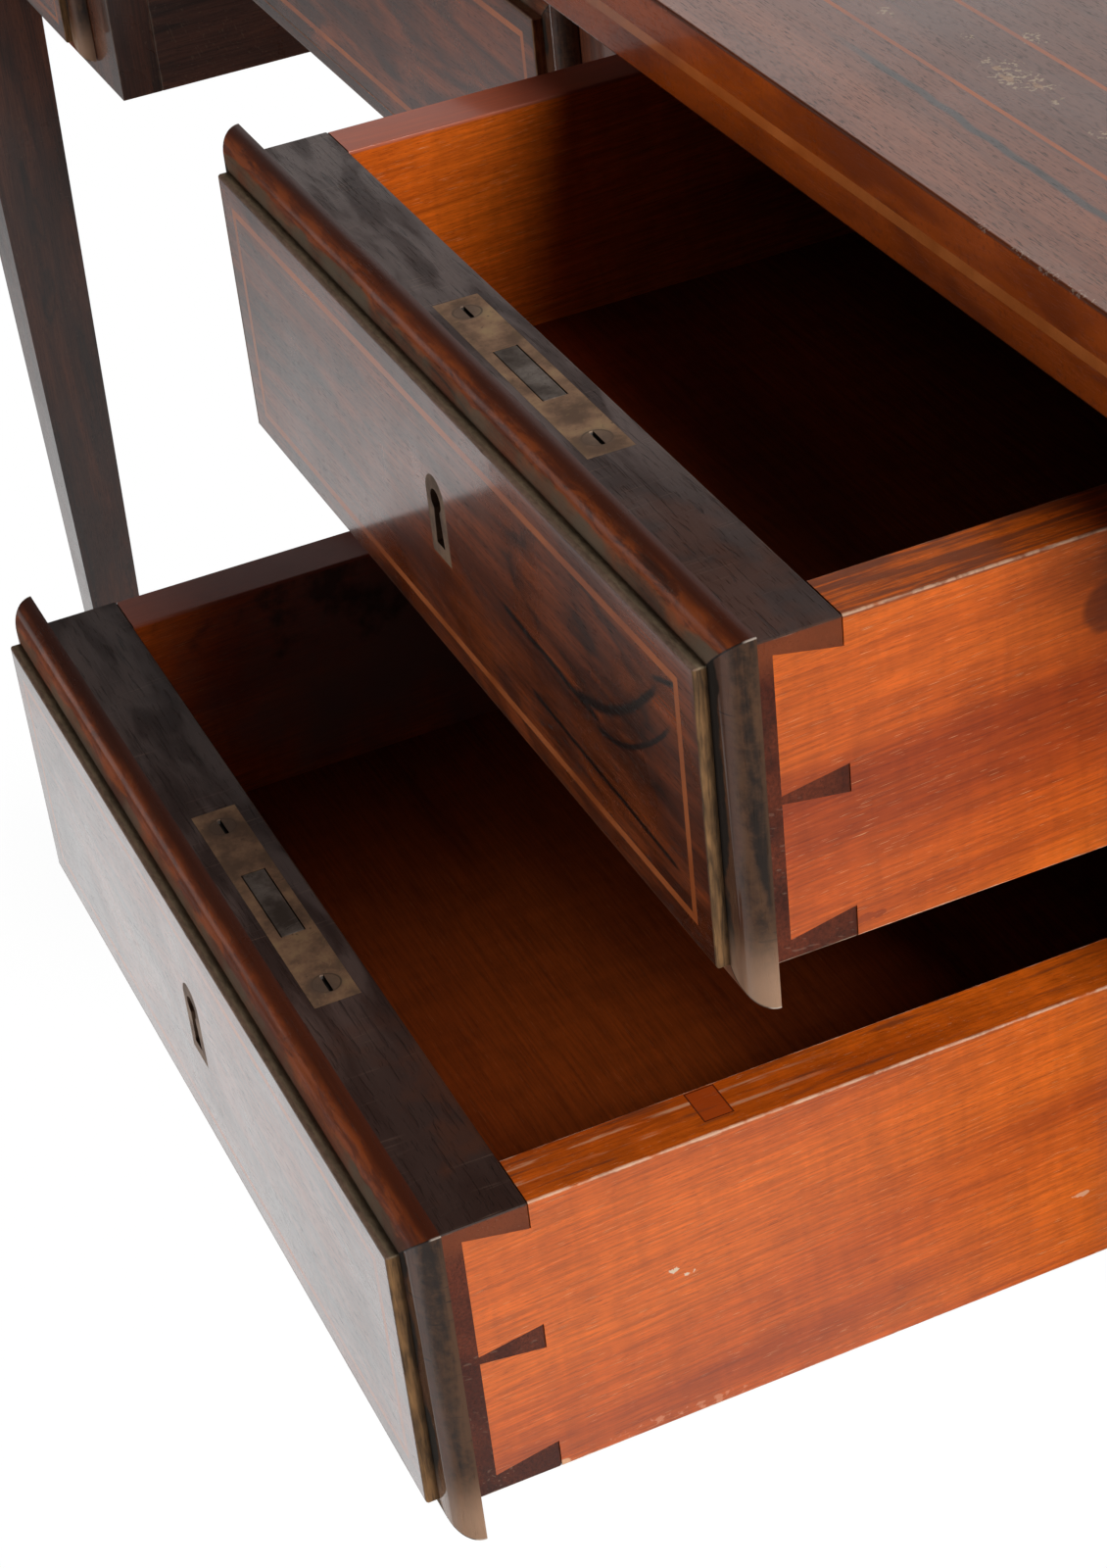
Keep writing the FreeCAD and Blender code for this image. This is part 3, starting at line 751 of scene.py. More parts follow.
def markLips(surface):
    marks = lipMarks
    tree = surface["colour"].tree
    inside = placeGroup(tree, insideBoard)
    place = inside["Place"]
    lowX, lowY, lowZ = apart(inside["Low"])
    upright = attribute(tree, "upright", "Fac")
    grain = attribute(tree, "grain")
    share = lowY / marks["depth"] + (noise(place, *marks["wanderNoise"]) - 0.5) * marks["wander"]
    mottle = patches(place, marks, "mottle")
    crownWornAndLit = ramp(share, *marks["crownRise"]) * ramp(share, *marks["crownFall"])
    crownWornAndLit = crownWornAndLit * ramp(mottle, *marks["crownMottle"]) * marks["crownShare"]
    dusty = ramp(share, *marks["dustDepth"]) * patches(place, marks, "dust")
    spots = noise(place, *marks["spotNoise"])
    streaks = drawn(grain, *marks["streakNoise"]) * marks["streakShare"] + spots * marks["spotShare"]
    dull = layered(
        mixColours(ramp(streaks, *marks["streakRamp"]), marks["uprightPale"], marks["uprightDark"]),
        (ramp(share, *marks["redRamp"]), marks["uprightRed"]),
        (ramp(share, *marks["paleRamp"]), marks["uprightPale"]),
        # nearly black right beside the panel
        (ramp(share, *marks["grimeRamp"]), marks["grime"]),
        (patches(grain, marks, "cross"), marks["grime"]),
        (ramp(lowZ, *marks["footRamp"]), marks["foot"]),
    )
    fromSide, fromFront, fromEnd = apart(inside["Near"])
    surface["colour"] = layered(
        surface["colour"],
        # a lighter crown, worn and painted highlight, then painted shade towards the board behind
        (crownWornAndLit, marks["crownWornAndLit"]),
        (ramp(share, *marks["shadeRamp"]), marks["shade"]),
        (dusty, marks["dust"]),
        (upright * marks["upright"], dull),
        (ramp(abs(fromSide - fromEnd), *marks["mitreRamp"]),
         mixColours(ramp(share, *marks["glintRamp"]), marks["mitre"], marks["glint"])),
    )
    surface["height"] = surface["height"] + spots * upright
    dulled = upright * marks["uprightDull"] + ramp(share, *marks["dullRamp"])
    surface["roughness"] = clamped(surface["roughness"] + dulled)
    bare = upright * ramp(share, *marks["bareRamp"])
    clean = highest(upright * ramp(share, *marks["uprightCoat"]), ramp(share, *marks["coatRamp"]))
    surface["coat"] = (1.0 - bare) * marks["coat"] * clean


# Front boards: a dull grey top edge over warm end grain, darker towards the right, with a pale line along
# the front arris that is wear and painted sheen

frontMarks = {
    "pin": (0.26, 0.060, 0.016), "pinRamp": (0.010, 0.003, 0.0, 0.6), "topRamp": (0.0006, 0.0003),
    "top": 0.92,
    "dull": (0.094, 0.060, 0.051), "dullDark": (0.024, 0.015, 0.013),
    "cloudNoise": (28.0, 120.0, 6.0, 0.8), "cloudRamp": (0.36, 0.64),
    "darkRamp": (0.085, 0.040), "dark": 0.8,
    "brown": (0.075, 0.026, 0.013), "brownNoise": (60.0, 4.0), "brownRamp": (0.45, 0.60, 0.0, 0.7),
    "crackNoise": (70.0, 1100.0, 3.0, 0.5), "crackRamp": (0.60, 0.68, 0.0, 0.75), "crackRelief": -1.5,
    "stroke": (0.20, 0.13, 0.10), "strokeNoise": ((1600.0, 60.0, 60.0), 3.0),
    "strokeRamp": (0.60, 0.72, 0.0, 0.5), "patchNoise": (45.0, 2.0), "patchRamp": (0.48, 0.60),
    # rubbed: a pale line along the front arris, wear and painted sheen
    "rubbed": (0.200, 0.155, 0.130), "rubbedSheenWide": (0.0013, 0.0006), "rubbedNoise": (220.0, 4.0),
    "rubbedRamp": (0.40, 0.60, 0.2, 0.9),
    "wornRamp": (0.40, 0.62), "wornCoat": (0.0, 1.0, 0.65, 0.20), "topCoat": (0.0, 1.0, 0.45, 1.0),
    "darkDull": 0.7, "arrisRamp": (0.00002, 0.00010, 0.0, 0.9),
}


def markFronts(surface):
    marks = frontMarks
    inside = placeGroup(surface["colour"].tree, insideBoard)
    place = inside["Place"]
    fromRight, fromBack, fromTop = apart(inside["High"])
    cloud = drawn(place, *marks["cloudNoise"])
    dark = ramp(fromRight, *marks["darkRamp"])
    crack = patches(place, marks, "crack", drawn)
    stroke = patches(place, marks, "stroke")
    stroke = stroke * patches(place, marks, "patch")
    # a pale greyish line along the front arris: wear and painted sheen
    rubbed = ramp(apart(inside["Low"])[1], *marks["rubbedSheenWide"])
    rubbed = rubbed * patches(place, marks, "rubbed")
    dull = layered(
        mixColours(ramp(cloud, *marks["cloudRamp"]), marks["dull"], marks["dullDark"]),
        (dark * marks["dark"], marks["dullDark"]),
        (dark * patches(place, marks, "brown"), marks["brown"]),
        (crack, marks["dullDark"]),
        (stroke, marks["stroke"]),
        (rubbed, marks["rubbed"]),
    )
    top = ramp(fromTop, *marks["topRamp"])
    paint(surface, ramp(fromTop, *marks["pinRamp"]), marks["pin"])
    paint(surface, top * marks["top"], dull)
    surface["height"] = surface["height"] + (crack * marks["crackRelief"] + cloud) * top
    gloss = ramp(top * ramp(cloud, *marks["wornRamp"]), *marks["wornCoat"])
    gloss = gloss * ramp(top, *marks["topCoat"]) * (1.0 - dark * marks["darkDull"])
    surface["coat"] = highest(gloss, top * ramp(fromTop, *marks["arrisRamp"]))


# Drawer sides: a let-in patch and rubbed lines on the lower one, chips, a dark spot and scuffs, a painted
# highlight on the outer top arris, and painted light on the left sides' top edges

sideMarks = {
    "topRamp": (0.0010, 0.0005), "patchLow": (0.4965, -0.2931, 0.60), "patchHigh": (0.5056, -0.2868, 0.64),
    "patch": (0.40, 0.055, 0.006), "patchShare": 0.8, "patchLine": (0.10, 0.014, 0.003),
    "patchEdge": (0.0004, 0.00016),
    "rubbed": (0.72, 0.36, 0.20), "rubbedAt": [0.4993, 0.5037], "rubbedAway": (0.0007, 0.0002, 0.0, 0.8),
    "rubbedNoise": ((500.0, 60.0, 60.0), 3.0), "rubbedRamp": (0.42, 0.58),
    "rubbedStart": (-0.346, -0.340), "rubbedEnd": (-0.258, -0.288),
    "grime": (0.15, 0.040, 0.016), "grimeNoise": ((700.0, 45.0, 60.0), 5.0, 0.2, 0.6), "upperFrom": 0.66,
    "grimeEdge": (0.0, 1.0, 0.62, 0.46), "grimeRamp": (-0.10, 0.10, 0.0, 0.80),
    # painted light: a lighter pinkish brown on the left sides' top edges
    "paintedLitTop": (0.62, 0.165, 0.095), "paintedLitTopRamp": (0.30, 0.28, 0.0, 0.85),
    # arris: a painted highlight on the outer top arris towards the front
    "arris": (0.88, 0.56, 0.38), "arrisHighlightWide": (0.00055, 0.00035, 0.0, 0.55), "arrisHighlightEnd": (-0.16, -0.24),
    "arrisNoise": (300.0, 4.0), "arrisRamp": (0.40, 0.56, 0.15, 1.0),
    "topCoat": (0.30, 0.28, 0.15, 0.55), "faceRamp": (0.00002, 0.00012), "faceCoat": 0.85,
    "spots": [
        {"at": (0.5092, -0.3036, 0.5961), "size": (0.003, 0.0009, 0.0014), "colour": (0.80, 0.62, 0.45),
         "scale": 900.0, "ragged": 0.6},
        {"at": (0.5092, -0.3010, 0.5942), "size": (0.003, 0.0012, 0.0005), "colour": (0.80, 0.58, 0.42),
         "scale": 900.0, "ragged": 0.8},
        # a dark spot by the side's far top corner
        {"at": (0.5092, -0.2078, 0.7125), "size": (0.003, 0.0070, 0.0062), "colour": (0.13, 0.022, 0.004),
         "share": 0.70, "ragged": 0.06, "scale": 120.0},
        {"at": (0.5092, -0.3040, 0.5588), "size": (0.003, 0.0130, 0.0012), "colour": (0.80, 0.33, 0.18),
         "share": 0.5, "ragged": 0.7, "broken": 500.0},
        {"at": (0.5092, -0.2138, 0.5751), "size": (0.003, 0.0035, 0.0007), "colour": (0.85, 0.48, 0.30),
         "ragged": 0.6, "share": 0.7},
        {"at": (0.5092, -0.3305, 0.5578), "size": (0.003, 0.0015, 0.0011), "colour": (0.88, 0.50, 0.28),
         "ragged": 0.2, "share": 0.8},
        {"at": (0.5092, -0.2610, 0.6630), "size": (0.003, 0.0060, 0.0008), "colour": (0.22, 0.03, 0.004),
         "share": 0.6},
        {"at": (0.2702, -0.2300, 0.6000), "size": (0.012, 0.1250, 0.0600), "colour": (0.270, 0.180, 0.155),
         "share": 0.95, "ragged": 0.12, "scale": 40.0, "soft": 0.5},
        {"at": (0.2702, -0.2800, 0.6170), "size": (0.012, 0.0380, 0.0130), "colour": (0.016, 0.012, 0.010),
         "share": 0.80, "ragged": 0.55, "scale": 140.0, "soft": 0.1},
    ],
}


def markSides(surface):
    marks = sideMarks
    inside = placeGroup(surface["colour"].tree, insideBoard)
    place = inside["Place"]
    x, y, z = apart(place)
    fromRight, fromBack, fromTop = apart(inside["High"])
    onTop = ramp(fromTop, *marks["topRamp"])
    within = lowest(*apart(lowest(place - marks["patchLow"], marks["patchHigh"] - place)))
    patch = within > 0.0
    run = ramp(y, *marks["rubbedStart"]) * ramp(y, *marks["rubbedEnd"]) * onTop
    run = run * patches(place, marks, "rubbed") * (1.0 - patch)
    run = run * (z < marks["patchHigh"][2])
    for offset in marks["rubbedAt"]:
        paint(surface, run * ramp(abs(x - offset), *marks["rubbedAway"]), marks["rubbed"])
    paint(surface, patch * onTop * marks["patchShare"], marks["patch"])
    paint(surface, patch * ramp(within, *marks["patchEdge"]) * onTop, marks["patchLine"])
    grime = noise(place, *marks["grimeNoise"]) - ramp(z > marks["upperFrom"], *marks["grimeEdge"])
    paint(surface, ramp(grime, *marks["grimeRamp"]) * onTop, marks["grime"])
    addSpots(surface, marks["spots"])
    # painted light: a lighter pinkish brown on the left sides' top edges
    paint(surface, onTop * ramp(x, *marks["paintedLitTopRamp"]), marks["paintedLitTop"])
    # painted highlight: a pale line on the outer top arris towards the front
    arris = ramp(highest(fromRight, fromTop), *marks["arrisHighlightWide"]) * (x > marks["patchLow"][0])
    arris = arris * patches(place, marks, "arris")
    paint(surface, arris * ramp(y, *marks["arrisHighlightEnd"]), marks["arris"])
    onFace = ramp(apart(inside["Near"])[2], *marks["faceRamp"])
    surface["coat"] = highest(ramp(x, *marks["topCoat"]), onFace * marks["faceCoat"])


finishes = {
    "topRosewood": buildRosewood("topRosewood", {
        "light": (0.41, 0.135, 0.064), "middle": (0.28, 0.090, 0.044), "dark": (0.05, 0.036, 0.032),
        "figureNoise": (4.0, 75.0, 4.0, 0.7), "inkNoise": (3.0, 42.0, 2.5, 0.8, 7.3), "ink": 0.28,
        "fibre": 0.22, "pores": 0.55, "poreSize": (0.003, 0.00022), "wear": 0.0,
    }, ageTop),
    "faceRosewood": buildRosewood("faceRosewood", {
        "light": (0.33, 0.068, 0.014), "middle": (0.095, 0.019, 0.005),
        "figureNoise": (11.0, 60.0, 4.0, 2.2), "figureRamp": (0.32, 0.72),
        "inkNoise": (9.0, 34.0, 2.5, 2.4, 7.3), "inkRings": 5.0, "ink": 0.7,
        "wearWidth": 0.0005, "wear": 0.35,
    }, markFaces),
    "frontRosewood": buildRosewood("frontRosewood", {
        "light": (0.125, 0.024, 0.008), "middle": (0.070, 0.013, 0.005), "ink": 0.4, "pores": 0.3,
        "wear": 0.9, "wearWidth": 0.0005, "wearLift": (0.0, 1.0, 0.0), "wearColour": (0.45, 0.32, 0.24),
        "coat": 0.6, "roughness": (0.42, 0.58), "relief": 0.00010,
    }, markFronts),
    "lipRosewood": buildRosewood("lipRosewood", {
        "light": (0.24, 0.046, 0.009), "middle": (0.10, 0.018, 0.005), "pores": 0.3, "wear": 0.0,
        "coatRoughness": 0.07,
    }, markLips),
    "carcaseRosewood": buildRosewood("carcaseRosewood", {
        "light": (0.17, 0.050, 0.022), "middle": (0.080, 0.026, 0.014), "ink": 0.6, "coat": 0.9,
        "coatIor": 1.45,
    }),
    "sideMahogany": buildMahogany("sideMahogany", {}, markSides),
    "bottomMahogany": buildMahogany("bottomMahogany", {
        "light": (0.38, 0.068, 0.006), "middle": (0.28, 0.046, 0.004), "dark": (0.14, 0.020, 0.002),
        "bandNoise": (2.4, 30.0, 3.0, 0.45), "glintFlecks": 0.15, "coat": 0.0, "roughness": (0.60, 0.72),
    }),
    "innerWood": buildMahogany("innerWood", {
        "light": (0.36, 0.22, 0.12), "middle": (0.28, 0.16, 0.085), "dark": (0.17, 0.09, 0.045),
        "grainTurn": (0.0, 0.0, math.pi / 2), "glintFlecks": 0.1, "fleckGlintColour": (0.5, 0.36, 0.22), "wear": 0.0,
        "coat": 0.0, "roughness": (0.65, 0.77),
    }),
    "boxwood": buildBoxwood("boxwood"),
    "brass": buildMetal("brass", {}),
    "iron": buildMetal("iron", {
        "base": (0.21, 0.170, 0.145), "worn": (0.36, 0.31, 0.27), "dull": (0.085, 0.062, 0.050),
        "metallic": 0.6, "screwApart": 1.0, "slotRamp": (0.5, 1.0), "keyholeRamp": (0.03, 0.02, 0.0, 0.0),
    }),
}
print("Finishes built:", len(finishes))


# Modelling helpers

modelling = {
    "weld": 0.00001, "flat": math.radians(0.5), "onEdge": 0.00002, "smooth": math.radians(35),
    "grainShift": (3.0, 5.0),
}
grainOrder = {"x": (0, 1, 2), "y": (1, 2, 0), "z": (2, 0, 1)}


def deselectAll():
    if bpy.context.object and bpy.context.object.mode != "OBJECT":
        bpy.ops.object.mode_set(mode="OBJECT")
    bpy.ops.object.select_all(action="DESELECT")


def makeActive(piece):
    deselectAll()
    piece.select_set(True)
    bpy.context.view_layer.objects.active = piece


def mergedCopy(node, name):
    piece = bpy.data.objects.new(name, frame["nodes"][node].data.copy())
    bpy.context.collection.objects.link(piece)
    piece.data.materials.clear()
    makeActive(piece)
    if piece.data.has_custom_normals:
        bpy.ops.mesh.customdata_custom_splitnormals_clear()
    bpy.ops.object.mode_set(mode="EDIT")
    bpy.ops.mesh.select_all(action="SELECT")
    bpy.ops.mesh.remove_doubles(threshold=modelling["weld"])
    bpy.ops.mesh.dissolve_limited(angle_limit=modelling["flat"])
    bpy.ops.object.mode_set(mode="OBJECT")
    return piece


# The vertices of each separate board in a mesh

def boards(mesh):
    owner = list(range(len(mesh.vertices)))

    def top(index):
        while owner[index] != index:
            owner[index] = owner[owner[index]]
            index = owner[index]
        return index

    for edge in mesh.edges:
        a, b = (top(index) for index in edge.vertices)
        owner[max(a, b)] = min(a, b)
    found = {}
    for index in range(len(mesh.vertices)):
        found.setdefault(top(index), []).append(index)
    return list(found.values())


def corners(mesh, indices):
    places = [mesh.vertices[index].co for index in indices]
    return Vector(map(min, *places)), Vector(map(max, *places))


# An arris lies along one axis, at its board's own low or high in both the others

def isArris(a, b, low, high, along):
    run = b - a
    axis = max(range(3), key=lambda number: abs(run[number]))
    if "xyz"[axis] not in along:
        return False
    for n in range(3):
        off = min(abs(a[n] - low[n]) + abs(b[n] - low[n]), abs(a[n] - high[n]) + abs(b[n] - high[n]))
        if n != axis and off >= modelling["onEdge"]:
            return False
    return True


def softenArrises(piece, width, segments=2, along="xyz", where=None):
    makeActive(piece)
    mesh = piece.data
    boxLow, boxHigh = corners(mesh, range(len(mesh.vertices)))
    chosen = set()
    for indices in boards(mesh):
        low, high = corners(mesh, indices)
        mine = set(indices)
        for edge in mesh.edges:
            if edge.vertices[0] not in mine:
                continue
            a, b = (mesh.vertices[index].co for index in edge.vertices)
            if isArris(a, b, low, high, along) and (where is None or where((a + b) / 2, low, high)):
                chosen.add(edge.index)
    for part in (mesh.vertices, mesh.edges, mesh.polygons):
        part.foreach_set("select", [False] * len(part))
    for index in chosen:
        mesh.edges[index].select = True
        for vertex in mesh.edges[index].vertices:
            mesh.vertices[vertex].select = True
    bpy.context.tool_settings.mesh_select_mode = (False, True, False)
    bpy.ops.object.mode_set(mode="EDIT")
    bpy.ops.mesh.bevel(offset=width, segments=segments, affect="EDGES", clamp_overlap=True)
    bpy.ops.object.mode_set(mode="OBJECT")
    for vertex in mesh.vertices:      # a softened corner never stands outside the piece's own box
        vertex.co = [min(max(vertex.co[n], boxLow[n]), boxHigh[n]) for n in range(3)]


# Each board's box and its grain's own coordinates are kept on the mesh

def markBoards(piece, axis, tilt=0.0):
    mesh = piece.data
    order = grainOrder[axis]
    kept = {"boardLow": {}, "boardHigh": {}, "grain": {}}
    for indices in boards(mesh):
        least, most = corners(mesh, indices)
        centre = (least + most) / 2
        acrossShift, throughShift = modelling["grainShift"]
        shift = centre[order[1]] * acrossShift + centre[order[2]] * throughShift
        for index in indices:
            along, across, through = (mesh.vertices[index].co[number] for number in order)
            kept["boardLow"][index] = least
            kept["boardHigh"][index] = most
            kept["grain"][index] = (along + across * tilt + shift, across - along * tilt, through)
    for label, values in kept.items():
        flat = [number for index in range(len(mesh.vertices)) for number in values[index]]
        mesh.attributes.new(label, "FLOAT_VECTOR", "POINT").data.foreach_set("vector", flat)


# The grain of a mitred frame turns at its corners, so there it is kept for each corner of a face

def turnGrain(piece, low, high):
    mesh = piece.data
    grains = []
    uprights = []
    for face in mesh.polygons:
        sideways = min(face.center.x - low.x, high.x - face.center.x)
        upDown = min(face.center.z - low.z, high.z - face.center.z)
        stands = sideways < upDown
        for vertex in face.vertices:
            place = mesh.vertices[vertex].co
            grains.extend(place[number] for number in grainOrder["z" if stands else "x"])
            uprights.append(float(stands))
    mesh.attributes.remove(mesh.attributes["grain"])
    mesh.attributes.new("grain", "FLOAT_VECTOR", "CORNER").data.foreach_set("vector", grains)
    mesh.attributes.new("upright", "FLOAT", "CORNER").data.foreach_set("value", uprights)


def finishPiece(piece, finish, body, replaced):
    piece.data.materials.append(finishes[finish])
    makeActive(piece)
    bpy.ops.object.shade_smooth_by_angle(angle=modelling["smooth"])
    even = piece.modifiers.new("evenNormals", "WEIGHTED_NORMAL")
    even.keep_sharp = True
    bpy.ops.object.modifier_apply(modifier=even.name)
    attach(piece, body)
    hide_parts(*replaced)
    deselectAll()


def softBoard(node, name, finish, slot, axis, width, segments=2, along="xyz", where=None, tilt=0.0):
    piece = mergedCopy(node, name)
    softenArrises(piece, width, segments, along, where)
    markBoards(piece, axis, tilt)
    finishPiece(piece, finish, nodeBody[node], [node])


def dressNode(node, finish):
    materials = frame["nodes"][node].data.materials
    materials.clear()
    materials.append(finishes[finish])


# Carcase

carcase = {
    "topArris": 0.0007, "topSegments": 3, "legArris": 0.0008, "boardArris": 0.0003,
    "legs": ["leg_front_left", "leg_front_right", "leg_back_left", "leg_back_right"],
    "boards": [
        ("top_rail", "topRail", "x"), ("mid_rails", "midRails", "x"), ("bottom_rails", "bottomRails", "x"),
        ("centre_rail", "centreRail", "x"), ("kneehole_stiles", "kneeholeStiles", "z"),
        ("end_panel_left", "endPanelLeft", "y"), ("end_panel_right", "endPanelRight", "y"),
        ("kneehole_panel_left", "kneeholePanelLeft", "y"),
        ("kneehole_panel_right", "kneeholePanelRight", "y"),
        ("pedestal_back_boards", "pedestalBacks", "x"), ("centre_back_board", "centreBack", "x"),
    ],
    "inner": ["drawer_runners", "drawer_kickers", "drawer_guides"],
}


def buildCarcase():
    softBoard(
        "top_board", "topBoard", "topRosewood", "rosewood", "x", carcase["topArris"], carcase["topSegments"],
    )
    for leg in carcase["legs"]:
        softBoard(leg, leg, "carcaseRosewood", "rosewood", "z", carcase["legArris"])
    for node, name, axis in carcase["boards"]:
        softBoard(node, name, "carcaseRosewood", "rosewood", axis, carcase["boardArris"])
    for node in carcase["inner"]:
        dressNode(node, "innerWood")
    dressNode("top_stringing", "boxwood")
    dressNode("top_screws", "iron")


# Lip moulding, worked from one flat ring round the raised panel

lip = {"segments": 12, "roundShort": 0.00002, "weld": 0.00003}


def buildLip(drawer):
    node = drawer + "_drawer_moulding"
    low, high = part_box(node)
    panelLow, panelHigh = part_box(drawer + "_drawer_face_panel")
    depth = high.y - low.y
    centre = (low + high) / 2
    deselectAll()
    bpy.ops.mesh.primitive_plane_add(
        size=1, location=(centre.x, high.y, centre.z), rotation=(math.pi / 2, 0, 0),
    )
    piece = bpy.context.object
    piece.name = drawer + "_lip"
    piece.scale = (high.x - low.x, high.z - low.z, 1)
    bpy.ops.object.transform_apply(location=True, rotation=True, scale=True)
    bpy.ops.object.mode_set(mode="EDIT")
    bpy.ops.mesh.select_mode(type="FACE")
    bpy.ops.mesh.select_all(action="SELECT")
    bpy.ops.mesh.inset(thickness=high.x - panelHigh.x)
    bpy.ops.mesh.delete(type="FACE")
    bpy.ops.mesh.select_all(action="SELECT")
    bpy.ops.mesh.extrude_region_move(TRANSFORM_OT_translate={"value": (0, -depth, 0)})
    bpy.ops.mesh.select_all(action="SELECT")
    bpy.ops.mesh.normals_make_consistent(inside=False)
    bpy.ops.object.mode_set(mode="OBJECT")
    softenArrises(
        piece, depth - lip["roundShort"], lip["segments"], "xz",
        where=lambda middle, least, most: middle.y < centre.y,
    )
    makeActive(piece)
    bpy.ops.object.mode_set(mode="EDIT")
    bpy.ops.mesh.select_all(action="SELECT")
    bpy.ops.mesh.remove_doubles(threshold=lip["weld"])
    bpy.ops.object.mode_set(mode="OBJECT")
    markBoards(piece, "x")
    turnGrain(piece, low, high)
    finishPiece(piece, "lipRosewood", nodeBody[node], [node])


# Drawers

drawerArrises = {
    "front": 0.0005, "face": 0.00045, "lock": 0.00015, "bolt": 0.0003,
    "sides": 0.0005, "back": 0.0003, "bottom": 0.0002, "box": 0.0004,
}
drawerWood = {"frontFoot": 0.001, "sideTilt": 0.05}


def atBackOrFoot(middle, low, high):
    return middle.y > (low.y + high.y) / 2 or middle.z < low.z + drawerWood["frontFoot"]


def atFront(middle, low, high):
    return middle.y < (low.y + high.y) / 2


def buildDrawer(drawer):
    def dress(part, node, *details, **choices):
        softBoard(
            drawer + "_drawer_" + node, drawer + "_" + part, *details, drawerArrises[part], **choices,
        )

    dress("front", "front", "frontRosewood", "rosewood", "x", where=atBackOrFoot)
    dress("face", "face_panel", "faceRosewood", "rosewood", "x", where=atFront)
    buildLip(drawer)
    dressNode(drawer + "_drawer_stringing", "boxwood")
    dress("lock", "lock", "brass", "brass", "x")
    dress("bolt", "bolt", "iron", "iron", "x")
    if drawer in openDrawers:
        dress("sides", "sides", "sideMahogany", "mahogany", "y", along="y", tilt=drawerWood["sideTilt"])
        dress("back", "back", "sideMahogany", "mahogany", "x", along="x")
        dress("bottom", "bottom", "bottomMahogany", "drawer_bottom", "x")
    else:
        dress("box", "box", "sideMahogany", "mahogany", "y", along="y")


buildCarcase()
print("Carcase dressed")
for drawerName in drawerNames:
    buildDrawer(drawerName)
    print("Drawer dressed:", drawerName)


# Floor, background and lights

studio = {
    "white": (1.0, 1.0, 1.0, 1.0), "floorSize": 14, "floorColour": (0.86, 0.86, 0.85),
    "floorCloud": (0.88, 0.88, 0.87), "cloudNoise": (3.0, 4.0, 0.0, 0.5), "cloudRamp": (0.3, 0.7),
    "sweepRamp": (-0.02, 0.11, 1.0, 0.0), "sweepCorner": 1.1, "sweepSlant": 0.75,
    "poolCentre": (0.2, -0.5, 0.0), "poolRamp": (0.5, 1.9, 1.0, 0.2),
    "shadeReach": (1.0, 0.15), "shadeRamp": (0.3, 0.9, 0.25, 1.0), "contactRamp": (0.5, 1.0, 0.82, 1.0),
    "shadeSamples": 4, "shadowShare": 0.02,
    "skyLeast": 0.02, "backWay": (-0.6, 0.8, 0.0), "backRamp": (0.52, 0.84, 0.05, 0.62),
    "horizonRamp": (0.36, 0.45, 1.22, 1.0),
    "stripWay": (-0.55, 0.835, 0.0), "stripWide": (0.13, 0.06), "stripLow": (0.03, 0.10, 0.0, 0.65),
    "stripHigh": (0.34, 0.18),
}


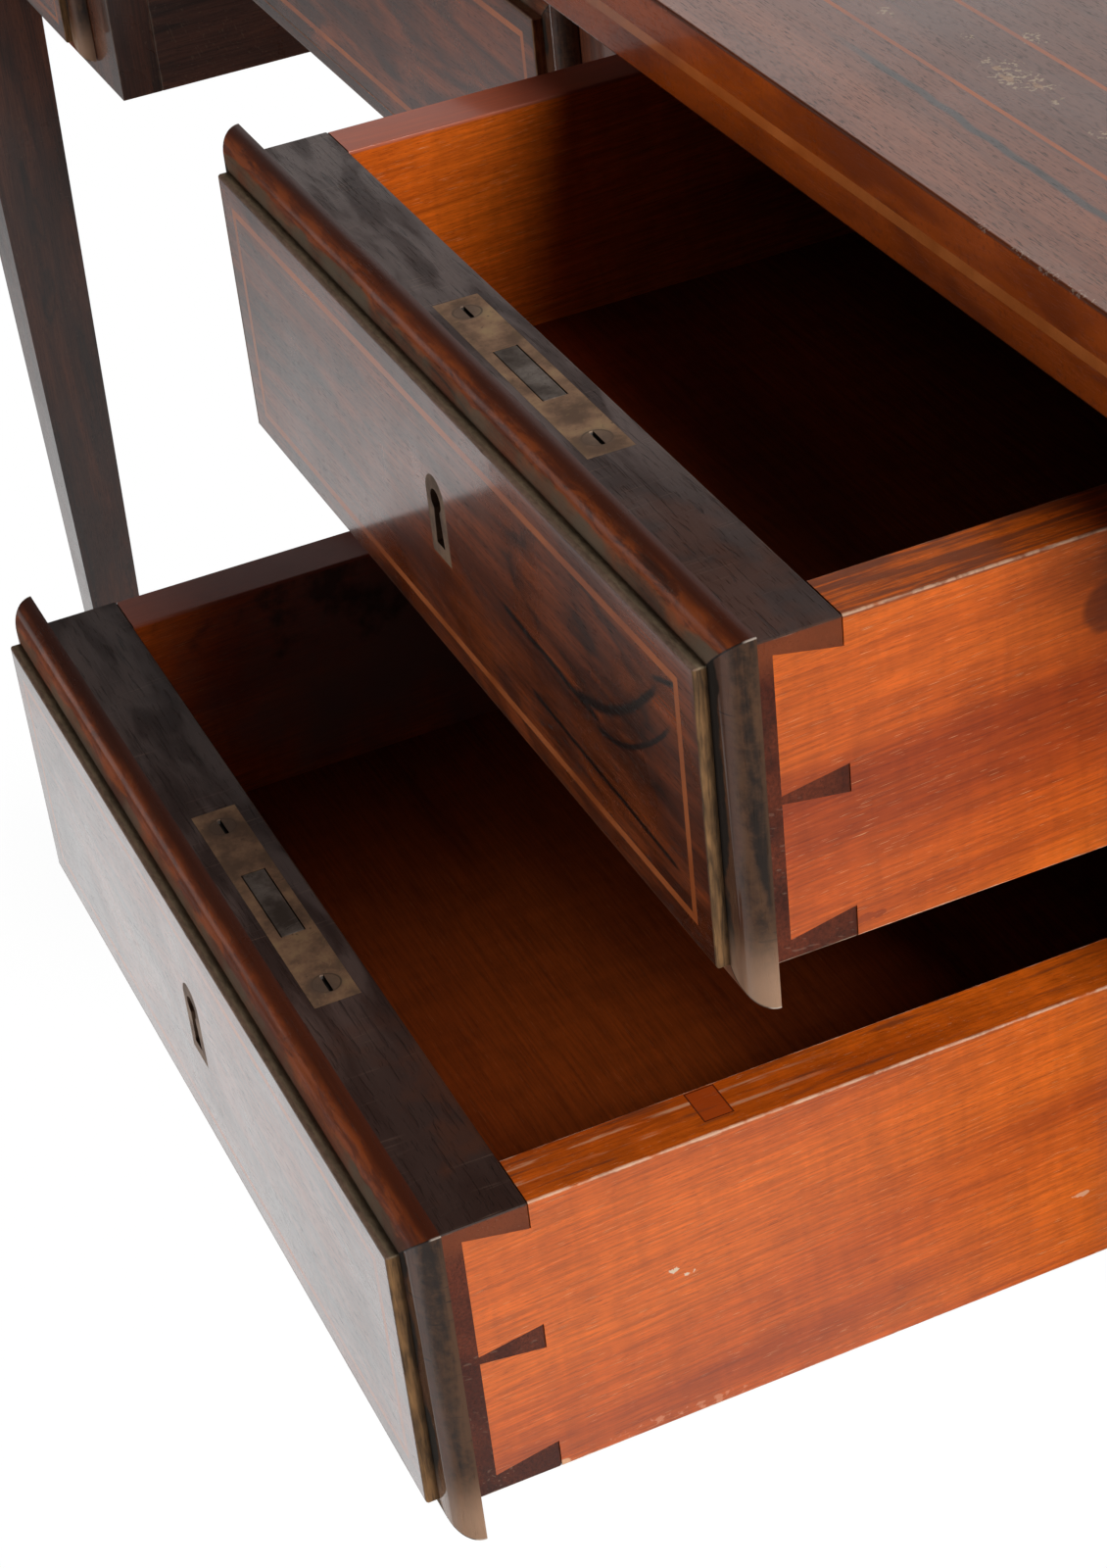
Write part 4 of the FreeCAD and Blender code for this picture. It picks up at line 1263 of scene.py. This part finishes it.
def addFloor():
    deselectAll()
    bpy.ops.mesh.primitive_plane_add(size=studio["floorSize"], location=(0, 0, 0))
    floor = bpy.context.object
    floor.name = "floor"
    material, tree = startMaterial("paleFloor")
    place = objectPlace(tree)
    right, depth, up = apart(place)
    # In reflections the floor's glow is painted light: a lit pool near the desk that fades with distance and
    # towards the back, with painted shade from ambient occlusion under the desk
    slant = highest(right - studio["sweepCorner"], 0.0) * studio["sweepSlant"]
    away = length(place - studio["poolCentre"])
    shade, contactShadow = (
        wired(tree, "ShaderNodeAmbientOcclusion", {"Distance": reach}, "AO", samples=studio["shadeSamples"])
        for reach in studio["shadeReach"]
    )
    reflectedFloorLight = ramp(depth - slant, *studio["sweepRamp"]) * ramp(away, *studio["poolRamp"])
    reflectedFloorLight = reflectedFloorLight * ramp(shade, *studio["shadeRamp"])
    rays = named(addNode(tree, "ShaderNodeLightPath").outputs)
    direct = rays["Is Camera Ray"]
    lit = 1.0 - studio["shadowShare"]
    # for the camera, ambient occlusion paints a soft contact shadow on the white floor
    strength = highest(reflectedFloorLight, direct * ramp(contactShadow, *studio["contactRamp"])) / lit
    seen = highest(rays["Is Glossy Ray"], rays["Is Transmission Ray"], direct) * lit
    cloud = patches(place, studio, "cloud")
    colour = mixColours(cloud, studio["floorColour"], studio["floorCloud"])
    plain = wired(tree, "ShaderNodeBsdfDiffuse", {"Color": colour})
    white = wired(tree, "ShaderNodeEmission", {"Color": studio["white"], "Strength": strength})
    mixed = wired(tree, "ShaderNodeMixShader", {0: seen, 1: plain, 2: white})
    addNode(tree, "ShaderNodeOutputMaterial", {"Surface": mixed})
    floor.data.materials.append(material)


def addWorld():
    world = bpy.data.worlds.new("studio")
    world.use_nodes = True
    bpy.context.scene.world = world
    tree = world.node_tree
    tree.nodes.clear()
    way = wired(tree, "ShaderNodeTexCoord", output="Generated")
    left, rear, up = apart(way)
    sky = ramp(towards(way, studio["backWay"]), *studio["backRamp"]) * ramp(up, *studio["horizonRamp"])
    strip = ramp(abs(towards(way, studio["stripWay"])), *studio["stripWide"]) * (left < 0.0)
    strip = strip * ramp(up, *studio["stripLow"]) * ramp(up, *studio["stripHigh"])
    rays = named(addNode(tree, "ShaderNodeLightPath").outputs)
    mirrored = highest(rays["Is Glossy Ray"], rays["Is Transmission Ray"]) * highest(sky, strip)
    strength = highest(mirrored, rays["Is Camera Ray"], studio["skyLeast"])
    background = wired(tree, "ShaderNodeBackground", {"Color": studio["white"], "Strength": strength})
    addNode(tree, "ShaderNodeOutputWorld", {"Surface": background})


lamps = {
    "key": {"place": (2.5, 0.62, 2.05), "target": (0.45, -0.2, 0.65), "size": 1.1, "power": 66.0,
            "colour": (1.0, 0.97, 0.93)},
    "fill": {"place": (-0.3, -2.7, 0.35), "target": (0.3, -0.2, 0.6), "size": 1.0, "power": 23.0,
             "colour": (1.0, 1.0, 1.0)},
}


def addLamp(name, numbers):
    data = bpy.data.lights.new(name, "AREA")
    data.energy = numbers["power"]
    data.size = numbers["size"]
    data.color = numbers["colour"]
    lamp = bpy.data.objects.new(name, data)
    bpy.context.collection.objects.link(lamp)
    lamp.location = numbers["place"]
    aim = Vector(numbers["target"]) - lamp.location
    lamp.rotation_euler = aim.to_track_quat("-Z", "Y").to_euler()


addFloor()
addWorld()
for lampName, lampNumbers in lamps.items():
    addLamp(lampName, lampNumbers)
bpy.context.scene.view_settings.view_transform = "Standard"
print("Studio lit")
